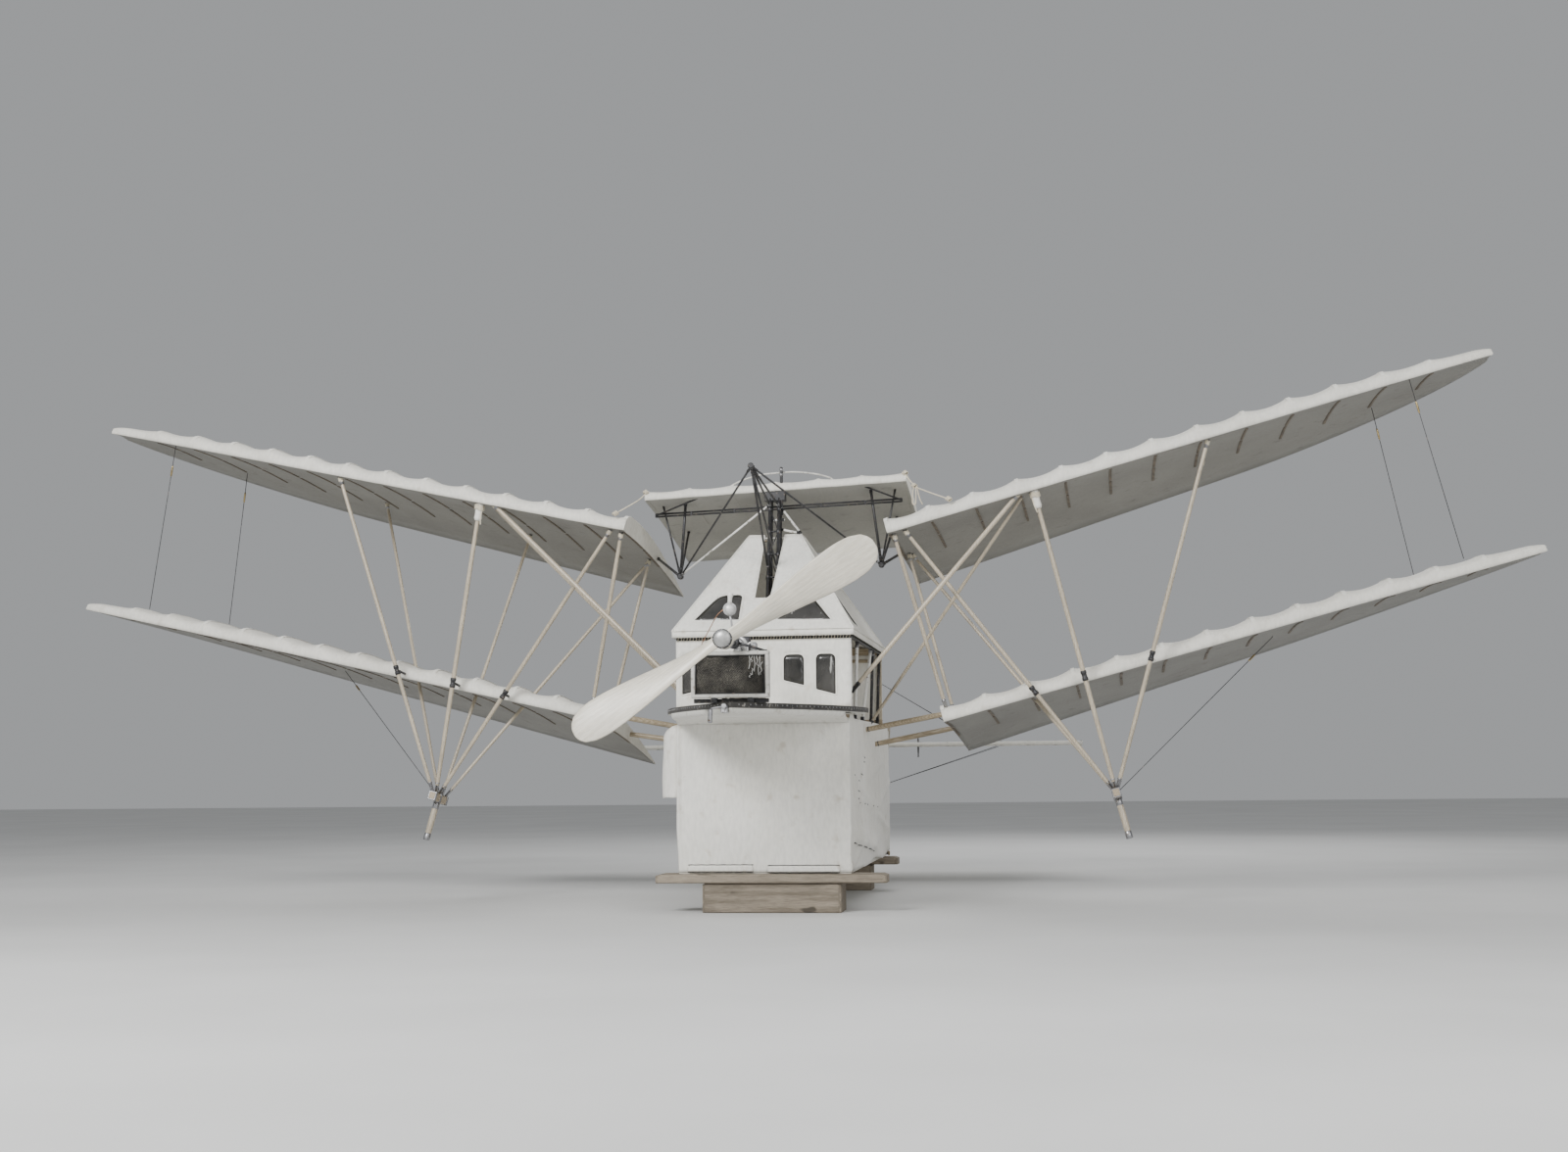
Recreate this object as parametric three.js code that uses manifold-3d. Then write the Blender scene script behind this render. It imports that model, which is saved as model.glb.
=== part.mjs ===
// Flying boat of about 1912 with a canvas-covered bow, parked on timber blocks.
// Millimetres, +Z up, nose towards -Y. The origin lies under the front block.

import * as THREE from 'three';
import { mergeVertices } from 'three/addons/utils/BufferGeometryUtils.js';
import Module from 'manifold-3d';

const wasm = await Module();
wasm.setup();

// Running fit between pieces that touch, and between pieces that turn in each other
const FIT = 0.3;
const BEARING_PLAY = 0.8;

// Hull
const HULL_HALF_WIDTH = 734;
const HULL_BOTTOM = 327;
const DECK_HEIGHT = 1635;
const STEP_Y = 3650;
const STEP_RISE = 90;
const STERN_Y = 6580;
const STERN_HALF_WIDTH = 320;
const STERN_BOTTOM = 880;
const COCKPIT = { halfWidth: 560, front: 750, back: 2450, floor: 900 };

// Cradle of timber blocks under the hull
const FRONT_BLOCK = { left: -530, right: 650, front: -40, back: 400, height: 250 };
const FRONT_PLANK = { left: -930, right: 1040, front: -70, back: 190 };
const REAR_BLOCK = { left: -590, right: 590, front: 3050, back: 3450, height: 250 };
const REAR_PLANK = { left: -850, right: 850, front: 3120, back: 3380 };

// Canvas cover over the bow
const COVER = { gap: FIT, thickness: 6, reachLeft: 1250, reachRight: 3400, bottom: 336, top: 1622 };
const FLAP = { outer: 905, y: 150, thickness: 60, bottom: 965, top: 1618 };

// Foredeck, engine, radiator and propeller
const CRANK = { x: -50, y: -1625, z: 1692 };
const FOREDECK = { halfWidth: 870, back: 300, apex: -1640, power: 1.63, bottom: 1680, thickness: 45 };
const SHAFT_HEIGHT = 2190;
const BEARER = {
  x: 100, width: 40, front: -1350, back: -600, top: 1830, depth: 50, legs: [-1340, -1000, -650],
};
const ENGINE = { halfWidth: 118, front: -1290, back: -640, bottom: 1830, top: 1930 };
const CYLINDER = { radius: 58, top: 2105, count: 4 };
const SHAFT_HOUSING = { radius: 46, front: -1260, back: -680 };
const NOSE_BEARING = { radius: 48, front: -1530, back: -1450 };
const RADIATOR = { left: -345, right: 275, y: -1450, depth: 70, bottom: 1762, top: 2128, frame: 32 };
const PROPELLER = { y: -1925, radius: 1359, angle: 0.542, boss: 76, bossDepth: 150, shaft: 24 };

// Cabin
const CABIN = { halfWidth: 758, front: 22, back: 2760, wall: 24, top: 2360 };
const ROOF = {
  eaveHalfWidth: 785, front: -25, back: 2800, eave: 2395, eaveBack: 2386, frame: 74,
  topHalfWidth: 237, topFront: 800, topBack: 1010, top: 3300, thickness: 14,
};
const ROOF_SLOT = [[-110, 2700], [30, 2700], [92, 3400], [-94, 3400]];
const POST_RADIUS = 15;

// Wing cells: one biplane panel set on each side, hung at its own angle
const RIB_PITCH = 402;
const RIB_BAYS = 13;
const WING_GAP = 1657;
const CHORD = 2350;
const STAGGER = 536;
const WASHOUT = 0.107;
const TIP_RIB = 13.3;
const RIB_CREST = 34;
const SIDES = {
  right: { sign: 1, root: [1460, 277, 1669], dihedral: 0.261, sweep: -0.013, incidence: 0.108 },
  left: { sign: -1, root: [1730, 359, 1782], dihedral: 0.217, sweep: 0.079, incidence: 0.184 },
};
const CENTRE_WING = { halfWidth: 1190, y: 755, z: 3705, chord: 2090, incidence: 0.172, roll: 0.044 };
const FRONT_SPAR = 75;
const REAR_SPAR = 1230;

// Float mounts below the wings
const APEX = { span: 1270, chord: 642, normal: -1002 };
const STRUT_PITCH = 48;
const MOUNT_POST = 402;

// Tail
const TAIL = { y: 5650, halfSpan: 2714, chord: 950, height: 1470, thickness: 50 };
const HINGE_Y = 6640;
const ELEVATOR = { front: 6680, chord: 520, innerGap: 330 };
const FIN = { front: 5680, back: 6590, undercut: 1640, top: 2560 };
const RUDDER = { y: 6800, bottom: 1560, top: 2700, chord: 620 };
const HINGE_ROD = 14;

const FINISH = {
  canvas: { color: 0xe6e1d2, roughness: 0.9, metalness: 0 },
  doped: { color: 0xe9e4d4, roughness: 0.7, metalness: 0 },
  spruce: { color: 0xc9a878, roughness: 0.5, metalness: 0 },
  timber: { color: 0x8f8372, roughness: 0.9, metalness: 0 },
  painted: { color: 0xded9cb, roughness: 0.6, metalness: 0 },
  steel: { color: 0x4a4a4c, roughness: 0.45, metalness: 0.8 },
  iron: { color: 0x3a3a3c, roughness: 0.6, metalness: 0.7 },
  brass: { color: 0x9c7d45, roughness: 0.4, metalness: 0.9 },
};

const airframe = new THREE.Group();

// Mesh helpers

function toSolid(geometry) {
  const bare = geometry.clone();
  bare.deleteAttribute('normal');
  bare.deleteAttribute('uv');
  const merged = mergeVertices(bare, 1e-3);
  const mesh = new wasm.Mesh({
    numProp: 3,
    vertProperties: new Float32Array(merged.attributes.position.array),
    triVerts: new Uint32Array(merged.index.array),
  });
  return new wasm.Manifold(mesh);
}

function toGeometry(solid) {
  const mesh = solid.getMesh();
  const geometry = new THREE.BufferGeometry();
  geometry.setAttribute('position', new THREE.BufferAttribute(new Float32Array(mesh.vertProperties), 3));
  geometry.setIndex(new THREE.BufferAttribute(new Uint32Array(mesh.triVerts), 1));
  geometry.computeVertexNormals();
  return geometry;
}

function addPart(name, solid, finish) {
  const part = new THREE.Mesh(toGeometry(solid), new THREE.MeshStandardMaterial(FINISH[finish]));
  part.name = name;
  airframe.add(part);
}

function join(solids) {
  return solids.reduce((whole, piece) => whole.add(piece));
}

function cut(solid, tools) {
  return tools.reduce((rest, tool) => rest.subtract(tool), solid);
}

function box(x0, x1, y0, y1, z0, z1) {
  const geometry = new THREE.BoxGeometry(x1 - x0, y1 - y0, z1 - z0);
  geometry.translate((x0 + x1) / 2, (y0 + y1) / 2, (z0 + z1) / 2);
  return toSolid(geometry);
}

// Round bar between two points, longer by `extra` at both ends
function bar(from, to, radius, extra = 0, sides = radius > 12 ? 10 : 6) {
  const along = new THREE.Vector3().subVectors(to, from);
  const geometry = new THREE.CylinderGeometry(radius, radius, along.length() + 2 * extra, sides);
  const turn = new THREE.Quaternion().setFromUnitVectors(
    new THREE.Vector3(0, 1, 0), along.clone().normalize(),
  );
  geometry.applyQuaternion(turn);
  const middle = from.clone().add(to).multiplyScalar(0.5);
  geometry.translate(middle.x, middle.y, middle.z);
  return toSolid(geometry);
}

// A strut is its two ends and radius: its solid, and the socket that it sits in
const strutSolid = (strut) => bar(strut.from, strut.to, strut.radius);
const strutSocket = (strut) => bar(strut.from, strut.to, strut.radius + FIT, FIT);

// Closed skin over rings of equal point count, capped by the outline's own triangles
function loft(rings, outline) {
  const count = rings[0].length;
  const positions = rings.flat().flatMap((point) => [point.x, point.y, point.z]);
  const faces = [];
  for (let ring = 0; ring < rings.length - 1; ring += 1) {
    for (let i = 0; i < count; i += 1) {
      const a = ring * count + i;
      const b = ring * count + ((i + 1) % count);
      faces.push(a, b, a + count, b, b + count, a + count);
    }
  }
  const last = (rings.length - 1) * count;
  const turn = Math.sign(THREE.ShapeUtils.area(outline));
  for (const corners of THREE.ShapeUtils.triangulateShape(outline, [])) {
    const same = Math.sign(THREE.ShapeUtils.area(corners.map((i) => outline[i]))) === turn;
    const [a, b, c] = same ? corners : corners.slice().reverse();
    faces.push(c, b, a, last + a, last + b, last + c);
  }
  const geometry = new THREE.BufferGeometry();
  geometry.setAttribute('position', new THREE.Float32BufferAttribute(positions, 3));
  geometry.setIndex(faces);
  if (signedVolume(positions, faces) < 0) {
    geometry.setIndex(faces.map((_, i) => faces[i - (i % 3) + 2 - (i % 3)]));
  }
  return toSolid(geometry);
}

function signedVolume(positions, faces) {
  const corner = (i) => new THREE.Vector3().fromArray(positions, 3 * faces[i]);
  let volume = 0;
  for (let i = 0; i < faces.length; i += 3) {
    volume += corner(i).dot(corner(i + 1).cross(corner(i + 2))) / 6;
  }
  return volume;
}

// Flat plate: an outline in one plane, given depth along that plane's normal
function plate(outline, depth, toWorld) {
  const rings = [0, depth].map((d) => outline.map((p) => toWorld(p.x, p.y, d)));
  return loft(rings, outline);
}

const flat = (pairs) => pairs.map(([x, y]) => new THREE.Vector2(x, y));
const point = (x, y, z) => new THREE.Vector3(x, y, z);

// Hull: sections as half-width at the chine, half-width at the deck, bottom and deck height

const sternDeck = TAIL.height - TAIL.thickness / 2 - FIT;

function buildHull() {
  const stations = [
    { y: 0, chine: HULL_HALF_WIDTH, deck: HULL_HALF_WIDTH, bottom: HULL_BOTTOM, top: DECK_HEIGHT },
    { y: STEP_Y, chine: 700, deck: HULL_HALF_WIDTH, bottom: HULL_BOTTOM, top: DECK_HEIGHT },
    { y: STEP_Y + 8, chine: 695, deck: HULL_HALF_WIDTH, bottom: HULL_BOTTOM + STEP_RISE, top: DECK_HEIGHT },
    { y: 5300, chine: 480, deck: 560, bottom: 620, top: sternDeck },
    {
      y: STERN_Y, chine: STERN_HALF_WIDTH - 60, deck: STERN_HALF_WIDTH, bottom: STERN_BOTTOM, top: sternDeck,
    },
  ];
  const rings = stations.map((s) => [
    point(-s.chine, s.y, s.bottom), point(s.chine, s.y, s.bottom),
    point(s.deck, s.y, s.top), point(-s.deck, s.y, s.top),
  ]);
  const outline = flat([[-1, 0], [1, 0], [1, 1], [-1, 1]]);
  const well = box(
    -COCKPIT.halfWidth, COCKPIT.halfWidth, COCKPIT.front, COCKPIT.back, COCKPIT.floor, DECK_HEIGHT + 50,
  );
  return loft(rings, outline).subtract(well);
}

function buildCradle() {
  const rows = [['front', FRONT_BLOCK, FRONT_PLANK], ['rear', REAR_BLOCK, REAR_PLANK]];
  for (const [place, block, plank] of rows) {
    const base = box(block.left, block.right, block.front, block.back, 0, block.height);
    const top = box(plank.left, plank.right, plank.front, plank.back, block.height - 1, HULL_BOTTOM - FIT);
    addPart(`${place}_cradle`, base.add(top), 'timber');
  }
}

// Canvas hung over the flat bow and turned back along both sides, and its loose flap
function buildCover() {
  const inner = HULL_HALF_WIDTH + COVER.gap;
  const outer = inner + COVER.thickness;
  const front = -COVER.gap - COVER.thickness;
  const skin = join([
    box(-outer, outer, front, -COVER.gap, COVER.bottom, COVER.top),
    box(-outer, -inner, front, COVER.reachLeft, COVER.bottom, COVER.top),
    box(inner, outer, front, COVER.reachRight, COVER.bottom, COVER.top),
  ]);
  const flap = box(-FLAP.outer, -inner - 1, FLAP.y, FLAP.y + FLAP.thickness, FLAP.bottom, FLAP.top);
  return skin.add(flap);
}

// Foredeck: an ogive from the hull's shoulders to a point under the propeller
function buildForedeck() {
  const side = [0, 0.12, 0.28, 0.45, 0.62, 0.78, 0.9, 0.97].map((t) => [
    FOREDECK.halfWidth * (1 - t ** FOREDECK.power),
    FOREDECK.back + t * (FOREDECK.apex - FOREDECK.back),
  ]);
  const outline = flat([
    ...side, [0, FOREDECK.apex], ...side.slice().reverse().map(([x, y]) => [-x, y]),
  ]);
  const lift = FOREDECK.bottom;
  return plate(outline, FOREDECK.thickness, (x, y, d) => point(x, y, lift + d));
}

// Two longitudinal beams and two crosspieces under the foredeck, which carry it past the bow
function buildDeckBeams() {
  const beams = [-1, 1].map((s) => box(
    s * 120 - 35, s * 120 + 35, -1300, 600, DECK_HEIGHT + FIT, FOREDECK.bottom - FIT,
  ));
  const crosspieces = [[-450, -390], [120, 190]].map(([front, back]) => box(
    -500, 500, front, back, DECK_HEIGHT + FIT, FOREDECK.bottom - FIT,
  ));
  return join([...beams, ...crosspieces]);
}

const deckTop = FOREDECK.bottom + FOREDECK.thickness + FIT;

// Engine bearers: two rails on short legs
function buildBearers() {
  const half = BEARER.width / 2;
  const rails = [-1, 1].map((s) => box(
    s * BEARER.x - half, s * BEARER.x + half, BEARER.front, BEARER.back,
    BEARER.top - BEARER.depth, BEARER.top,
  ));
  const legs = BEARER.legs.flatMap((y) => [-1, 1].map((s) => box(
    s * BEARER.x - half, s * BEARER.x + half, y, y + 50, deckTop, BEARER.top - 10,
  )));
  const ties = BEARER.legs.map((y) => box(
    -BEARER.x, BEARER.x, y, y + 50, BEARER.top - BEARER.depth, BEARER.top - 12,
  ));
  return join([...rails, ...legs, ...ties]);
}

// Engine: cylinders on a crankcase, a case up to the propeller shaft and the shaft's housing
const shaftEnd = SHAFT_HOUSING.front + 160;
const shaftBore = (front, back) => bar(
  point(0, front, SHAFT_HEIGHT), point(0, back, SHAFT_HEIGHT), PROPELLER.shaft + BEARING_PLAY, 0, 16,
);

function buildEngine() {
  const { halfWidth, front, back, bottom, top } = ENGINE;
  const pieces = [
    box(-halfWidth, halfWidth, front, back, bottom + FIT, top),
    box(-62, 62, back - 70, back, top - 10, SHAFT_HEIGHT + 55),
    box(-60, 60, -1035, -975, top - 10, SHAFT_HEIGHT + 80),
    bar(
      point(0, SHAFT_HOUSING.front, SHAFT_HEIGHT), point(0, SHAFT_HOUSING.back, SHAFT_HEIGHT),
      SHAFT_HOUSING.radius, 0, 16,
    ),
  ];
  const pitch = (back - front - 210) / (CYLINDER.count - 1);
  for (let i = 0; i < CYLINDER.count; i += 1) {
    const y = front + 75 + i * pitch;
    pieces.push(bar(point(0, y, top - 5), point(0, y, CYLINDER.top), CYLINDER.radius, 0, 14));
  }
  pieces.push(bar(point(76, front + 30, 2010), point(76, back - 30, 2010), 26));
  return join(pieces).subtract(shaftBore(SHAFT_HOUSING.front - 5, shaftEnd));
}

// Radiator: a tall frame on two feet with a thinner core inside, which also stays the shaft's nose bearing
function buildRadiator() {
  const { left, right, y, depth, bottom, top, frame } = RADIATOR;
  const shell = box(left, right, y, y + depth, bottom, top)
    .subtract(box(left + frame, right - frame, y - 1, y + depth + 1, bottom + frame, top - frame));
  const core = box(left + 10, right - 10, y + 14, y + depth - 14, bottom + 10, top - 10);
  const feet = [-165, 125].map((x) => box(x - 25, x + 25, y + 10, y + depth - 10, deckTop, bottom + 5));
  const nose = NOSE_BEARING;
  const middle = (nose.front + nose.back) / 2;
  const stays = [left + 95, right - 30].map((x) => bar(
    point(Math.sign(x) * 30, middle, SHAFT_HEIGHT), point(x, y + depth / 2, top - 12), 11,
  ));
  const ring = bar(point(0, nose.front, SHAFT_HEIGHT), point(0, nose.back, SHAFT_HEIGHT), nose.radius, 0, 16);
  return cut(join([shell, core, ...feet, ...stays, ring]), [shaftBore(nose.front - 5, nose.back + 120)]);
}

// Starting crank in front of the foredeck's point: its bush on a foot below the deck, and the handle
function buildCrank() {
  const { x, y, z } = CRANK;
  const pieces = [
    bar(point(x, y - 25, z), point(x, y + 20, z), 20, 0, 12),
    box(x - 28, x + 28, y - 10, -1490, FOREDECK.bottom - 40, FOREDECK.bottom - FIT),
    bar(point(x, y, z), point(x - 105, y, z - 26), 9),
    bar(point(x - 107, y, z - 14), point(x - 112, y, z - 130), 19),
  ];
  return join(pieces);
}

// Propeller: two blades swept by sections of radius share, chord, pitch angle and thickness

function buildPropeller() {
  const sections = [
    { r: 0.0, chord: 120, pitch: 0.9, thick: 84 },
    { r: 0.1, chord: 128, pitch: 0.85, thick: 70 },
    { r: 0.25, chord: 168, pitch: 0.66, thick: 48 },
    { r: 0.45, chord: 235, pitch: 0.46, thick: 34 },
    { r: 0.65, chord: 300, pitch: 0.34, thick: 25 },
    { r: 0.8, chord: 325, pitch: 0.28, thick: 19 },
    { r: 0.9, chord: 300, pitch: 0.25, thick: 15 },
    { r: 0.96, chord: 235, pitch: 0.24, thick: 12 },
    { r: 0.99, chord: 140, pitch: 0.23, thick: 9 },
    { r: 1.0, chord: 60, pitch: 0.23, thick: 6 },
  ];
  const foil = [[-0.5, 0], [-0.42, 0.35], [-0.2, 0.62], [0.1, 0.6], [0.36, 0.34], [0.5, 0],
    [0.36, -0.2], [0.1, -0.36], [-0.2, -0.38], [-0.42, -0.22]];
  const pieces = [0, Math.PI].map((turn) => {
    const roll = PROPELLER.angle + turn;
    const rings = sections.map((s) => foil.map(([u, v]) => {
      const across = u * s.chord * Math.cos(s.pitch) - v * s.thick * Math.sin(s.pitch);
      const fore = -u * s.chord * Math.sin(s.pitch) - v * s.thick * Math.cos(s.pitch);
      const out = s.r * PROPELLER.radius;
      return point(
        out * Math.cos(roll) - across * Math.sin(roll),
        PROPELLER.y + fore,
        SHAFT_HEIGHT + out * Math.sin(roll) + across * Math.cos(roll),
      );
    }));
    return loft(rings, flat(foil));
  });
  const hubFront = PROPELLER.y - PROPELLER.bossDepth / 2;
  const hubBack = PROPELLER.y + PROPELLER.bossDepth / 2;
  pieces.push(bar(point(0, hubFront, SHAFT_HEIGHT), point(0, hubBack, SHAFT_HEIGHT), PROPELLER.boss, 0, 20));
  const shaft = [point(0, hubBack - 5, SHAFT_HEIGHT), point(0, shaftEnd - 10, SHAFT_HEIGHT)];
  pieces.push(bar(...shaft, PROPELLER.shaft, 0, 16));
  return join(pieces);
}

// Cabin walls: outlines of the window openings, in X and Z
const ARCH_STEPS = 5;

function archedWindow(left, right, top, bottomLeft, bottomRight) {
  const radius = (right - left) * 0.28;
  const corner = (cx, start) => Array.from({ length: ARCH_STEPS }, (_, i) => {
    const angle = start - (i * Math.PI) / 2 / (ARCH_STEPS - 1);
    return [cx + radius * Math.cos(angle), top - radius + radius * Math.sin(angle)];
  });
  return flat([
    [left, bottomLeft], ...corner(left + radius, Math.PI), ...corner(right - radius, Math.PI / 2),
    [right, bottomRight],
  ]);
}

const CABIN_WINDOWS = [
  // left, right, top, bottom at left, bottom at right
  [176, 351, 2178, 1960, 1915],
  [455, 622, 2180, 1880, 1835],
  [-705, -540, 2185, 1850, 1890],
];

function buildCabinFront() {
  const wall = box(
    -CABIN.halfWidth, CABIN.halfWidth, CABIN.front, CABIN.front + CABIN.wall, deckTop, CABIN.top,
  );
  const holes = CABIN_WINDOWS.map((row) => plate(
    archedWindow(...row), CABIN.wall + 20, (x, z, d) => point(x, CABIN.front - 10 + d, z),
  ));
  return cut(wall, holes);
}

function buildCabinRear() {
  const wall = box(
    -CABIN.halfWidth, CABIN.halfWidth, CABIN.back - CABIN.wall, CABIN.back, DECK_HEIGHT + FIT, CABIN.top,
  );
  const door = box(-260, 260, CABIN.back - CABIN.wall - 5, CABIN.back + 5, 1800, 2240);
  return wall.subtract(door);
}

// Side posts: Y at the foot, Y at the top
const STAY_SHARE = 0.32;
const SIDE_POSTS = [[80, 80], [420, 110], [700, 700], [1320, 1900], [2080, 2080], [2700, 2700]];
const postTopX = CABIN.halfWidth - 20;
const sidePost = (sign, [foot, top]) => ({
  from: point(sign * (HULL_HALF_WIDTH - 24), foot, DECK_HEIGHT + FIT),
  to: point(sign * postTopX, top, CABIN.top - 20), radius: POST_RADIUS,
});

function buildPosts(sign) {
  const posts = SIDE_POSTS.map((row) => strutSolid(sidePost(sign, row)));
  const rail = box(
    sign * postTopX - 18, sign * postTopX + 18, CABIN.front + CABIN.wall + FIT, CABIN.back - CABIN.wall - FIT,
    CABIN.top - 40, CABIN.top,
  );
  const decks = [
    box(-1000, 1000, -100, FOREDECK.back + FIT, 1500, deckTop),
    box(-1000, 1000, -100, 3000, 1500, DECK_HEIGHT + FIT),
  ];
  return cut(join([...posts, rail]), decks);
}

// Cloth roof: a hollow pyramid with its point cut off, slotted in front for the pylon
function roofRings(shrink) {
  const r = ROOF;
  const low = shrink ? 12 : 0;
  const ring = (half, front, back, zFront, zBack) => [
    point(-half + shrink, front + shrink, zFront), point(half - shrink, front + shrink, zFront),
    point(half - shrink, back - shrink, zBack), point(-half + shrink, back - shrink, zBack),
  ];
  return [
    ring(r.eaveHalfWidth, r.front, r.back, r.eave - low, r.eaveBack - low),
    ring(r.topHalfWidth, r.topFront, r.topBack, r.top - shrink, r.top - shrink),
  ];
}

// Frame round the roof's foot, which rests on the cabin walls and side rails
function roofFrame() {
  const { eaveHalfWidth: half, front, back, eave, frame } = ROOF;
  return box(-half, half, front, back, CABIN.top + FIT, eave + 2)
    .subtract(box(-half + frame, half - frame, front + frame, back - frame, CABIN.top - 1, eave + 3));
}

function buildRoof() {
  const square = flat([[-1, -1], [1, -1], [1, 1], [-1, 1]]);
  const slot = plate(flat(ROOF_SLOT), ROOF.topBack + 140, (x, z, d) => point(x, -200 + d, z));
  const through = (outline) => plate(outline, 700, (x, z, d) => point(x, -200 + d, z));
  const across = (outline) => plate(outline, 2000, (y, z, d) => point(-1000 + d, y, z));
  const windows = [
    flat([[-605, 2497], [-219, 2497], [-219, 2736], [-400, 2732], [-450, 2690]]),
    flat([[114, 2497], [583, 2480], [388, 2712], [330, 2700]]),
  ].map(through);
  const shell = loft(roofRings(0), square).subtract(loft(roofRings(ROOF.thickness), square));
  const sideWindows = across(flat([[430, 2500], [900, 2497], [760, 2715], [520, 2725]]));
  return cut(shell.add(roofFrame()), [slot, ...windows, sideWindows]);
}

// Pylon: four raking legs with rungs between the front pair, which rise through the roof's slot

const PYLON_TOP = 3640;
const PYLON_LEGS = [
  // foot x, foot y, top x, top y
  [-48, 330, -40, 790], [48, 330, 40, 790], [-48, 700, -40, 860], [48, 700, 40, 860],
];
const PYLON_RUNGS = 9;
const PYLON_LEG = 15;
const legPoint = ([x0, y0, x1, y1], share) => point(
  x0 + (x1 - x0) * share, y0 + (y1 - y0) * share, (DECK_HEIGHT + 10) + (PYLON_TOP - DECK_HEIGHT - 10) * share,
);

function pylonBars() {
  const bars = PYLON_LEGS.map((leg) => ({ from: legPoint(leg, 0), to: legPoint(leg, 1), radius: PYLON_LEG }));
  const [left, right] = PYLON_LEGS;
  for (let i = 1; i <= PYLON_RUNGS; i += 1) {
    const share = i / (PYLON_RUNGS + 0.5);
    const next = (i + 1) / (PYLON_RUNGS + 0.5);
    bars.push({ from: legPoint(left, share), to: legPoint(right, share), radius: 8 });
    if (i < PYLON_RUNGS) {
      const [from, to] = i % 2 ? [left, right] : [right, left];
      bars.push({ from: legPoint(from, share), to: legPoint(to, next), radius: 6 });
    }
  }
  return bars;
}

const saddle = (grow) => box(
  -95 - grow, 95 + grow, 775 - grow, 875 + grow, PYLON_TOP - 30, PYLON_TOP + 66 + grow,
);
const mast = (grow) => bar(point(60, 800, 3480), point(60, 800, 3920), 14 + grow);

// Deck sills under the legs, the saddle under the centre wing and the mast through its nose
const pylonFittings = () => [
  box(-80, 80, 305, 355, DECK_HEIGHT + FIT, DECK_HEIGHT + 40),
  box(-80, 80, 680, 725, DECK_HEIGHT + FIT, DECK_HEIGHT + 40),
  saddle(0),
  mast(0),
];

// Kingpost ahead of the centre wing: four legs to the pylon, two stays to the truss corners

const KING_APEX = point(0, -530, 3729);
const TRUSS_CORNER = { right: point(926, 1100, 3040), left: point(-930, 1100, 2977) };

function kingpostBars() {
  const [left, right] = PYLON_LEGS;
  const rows = [
    [legPoint(left, 0.66), 10], [legPoint(right, 0.66), 10],
    [legPoint(left, 0.96), 10], [legPoint(right, 0.96), 10],
    [TRUSS_CORNER.left, 9], [TRUSS_CORNER.right, 9],
  ];
  return rows.map(([to, radius]) => ({ from: KING_APEX, to, radius }));
}

function centrePoint(x, chord, height) {
  const { y, z, incidence, roll } = CENTRE_WING;
  return point(
    x, y + chord * Math.cos(incidence) + height * Math.sin(incidence),
    z + x * Math.sin(roll) - chord * Math.sin(incidence) + height * Math.cos(incidence),
  );
}

// Truss under each end of the centre wing, down to the corner that holds the outer wing
function trussBars(sideName) {
  const s = SIDES[sideName].sign;
  const corner = TRUSS_CORNER[sideName];
  const link = onWing(sideName, 'upper', 0.06, REAR_SPAR, 0.5);
  return [
    { from: centrePoint(s * 845, 190, 60), to: corner, radius: 13 },
    { from: centrePoint(s * 1010, 1200, 70), to: corner, radius: 11 },
    { from: centrePoint(s * 1080, 240, 60), to: corner, radius: 9 },
    { from: corner, to: link, radius: 13 },
  ];
}

// Fitting at a truss corner, which also takes the kingpost's stay
function cornerFitting(sideName, grow) {
  const corner = TRUSS_CORNER[sideName];
  const half = point(0, 34, 0);
  return bar(corner.clone().sub(half), corner.clone().add(half), 30 + grow, grow, 12);
}

const SPREADER = { left: 3520, right: 3580, half: 1130, pitch: 42, radius: 9, seat: 20 };

// Twin spreader bars: they lie against the front strut of each truss
function spreaderBars() {
  const [left, right] = ['left', 'right'].map((side) => {
    const strut = trussBars(side)[0];
    const share = (strut.from.z - SPREADER[side]) / (strut.from.z - strut.to.z);
    return strut.from.clone().lerp(strut.to, share).sub(point(0, SPREADER.seat, 0));
  });
  const ends = [-1, 1].map(
    (s) => left.clone().lerp(right, (s * SPREADER.half - left.x) / (right.x - left.x)),
  );
  return [0, SPREADER.pitch].map((lift) => ({
    from: ends[0].clone().add(point(0, 0, lift)), to: ends[1].clone().add(point(0, 0, lift)),
    radius: SPREADER.radius,
  }));
}

// Wings: sections of share of chord, upper height and lower height, for the full chord

const AIRFOIL = [
  // share of chord, upper, lower
  [0, 78, -4], [0.008, 116, -8], [0.03, 146, -8], [0.1, 166, 4], [0.22, 178, 20], [0.38, 174, 30],
  [0.56, 142, 31], [0.78, 82, 21], [1, 7, 0],
];
const foilAt = (share, column) => {
  const next = Math.max(1, AIRFOIL.findIndex((row) => row[0] >= share));
  const [a, b] = [AIRFOIL[next - 1], AIRFOIL[next]];
  return a[column] + ((share - a[0]) / (b[0] - a[0])) * (b[column] - a[column]);
};

// Outline of the rounded tip: the chord shrinks over the last five ribs
const TIP_START = 8;
const TIP_SWEEP = 0.05;
const tipShare = (rib) => {
  const t = Math.max(0, (rib - TIP_START) / (TIP_RIB - TIP_START + 0.04));
  return Math.sqrt(1 - t * t);
};
const leadingEdge = (rib, chord) => TIP_SWEEP * chord * (1 - tipShare(rib));

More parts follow.
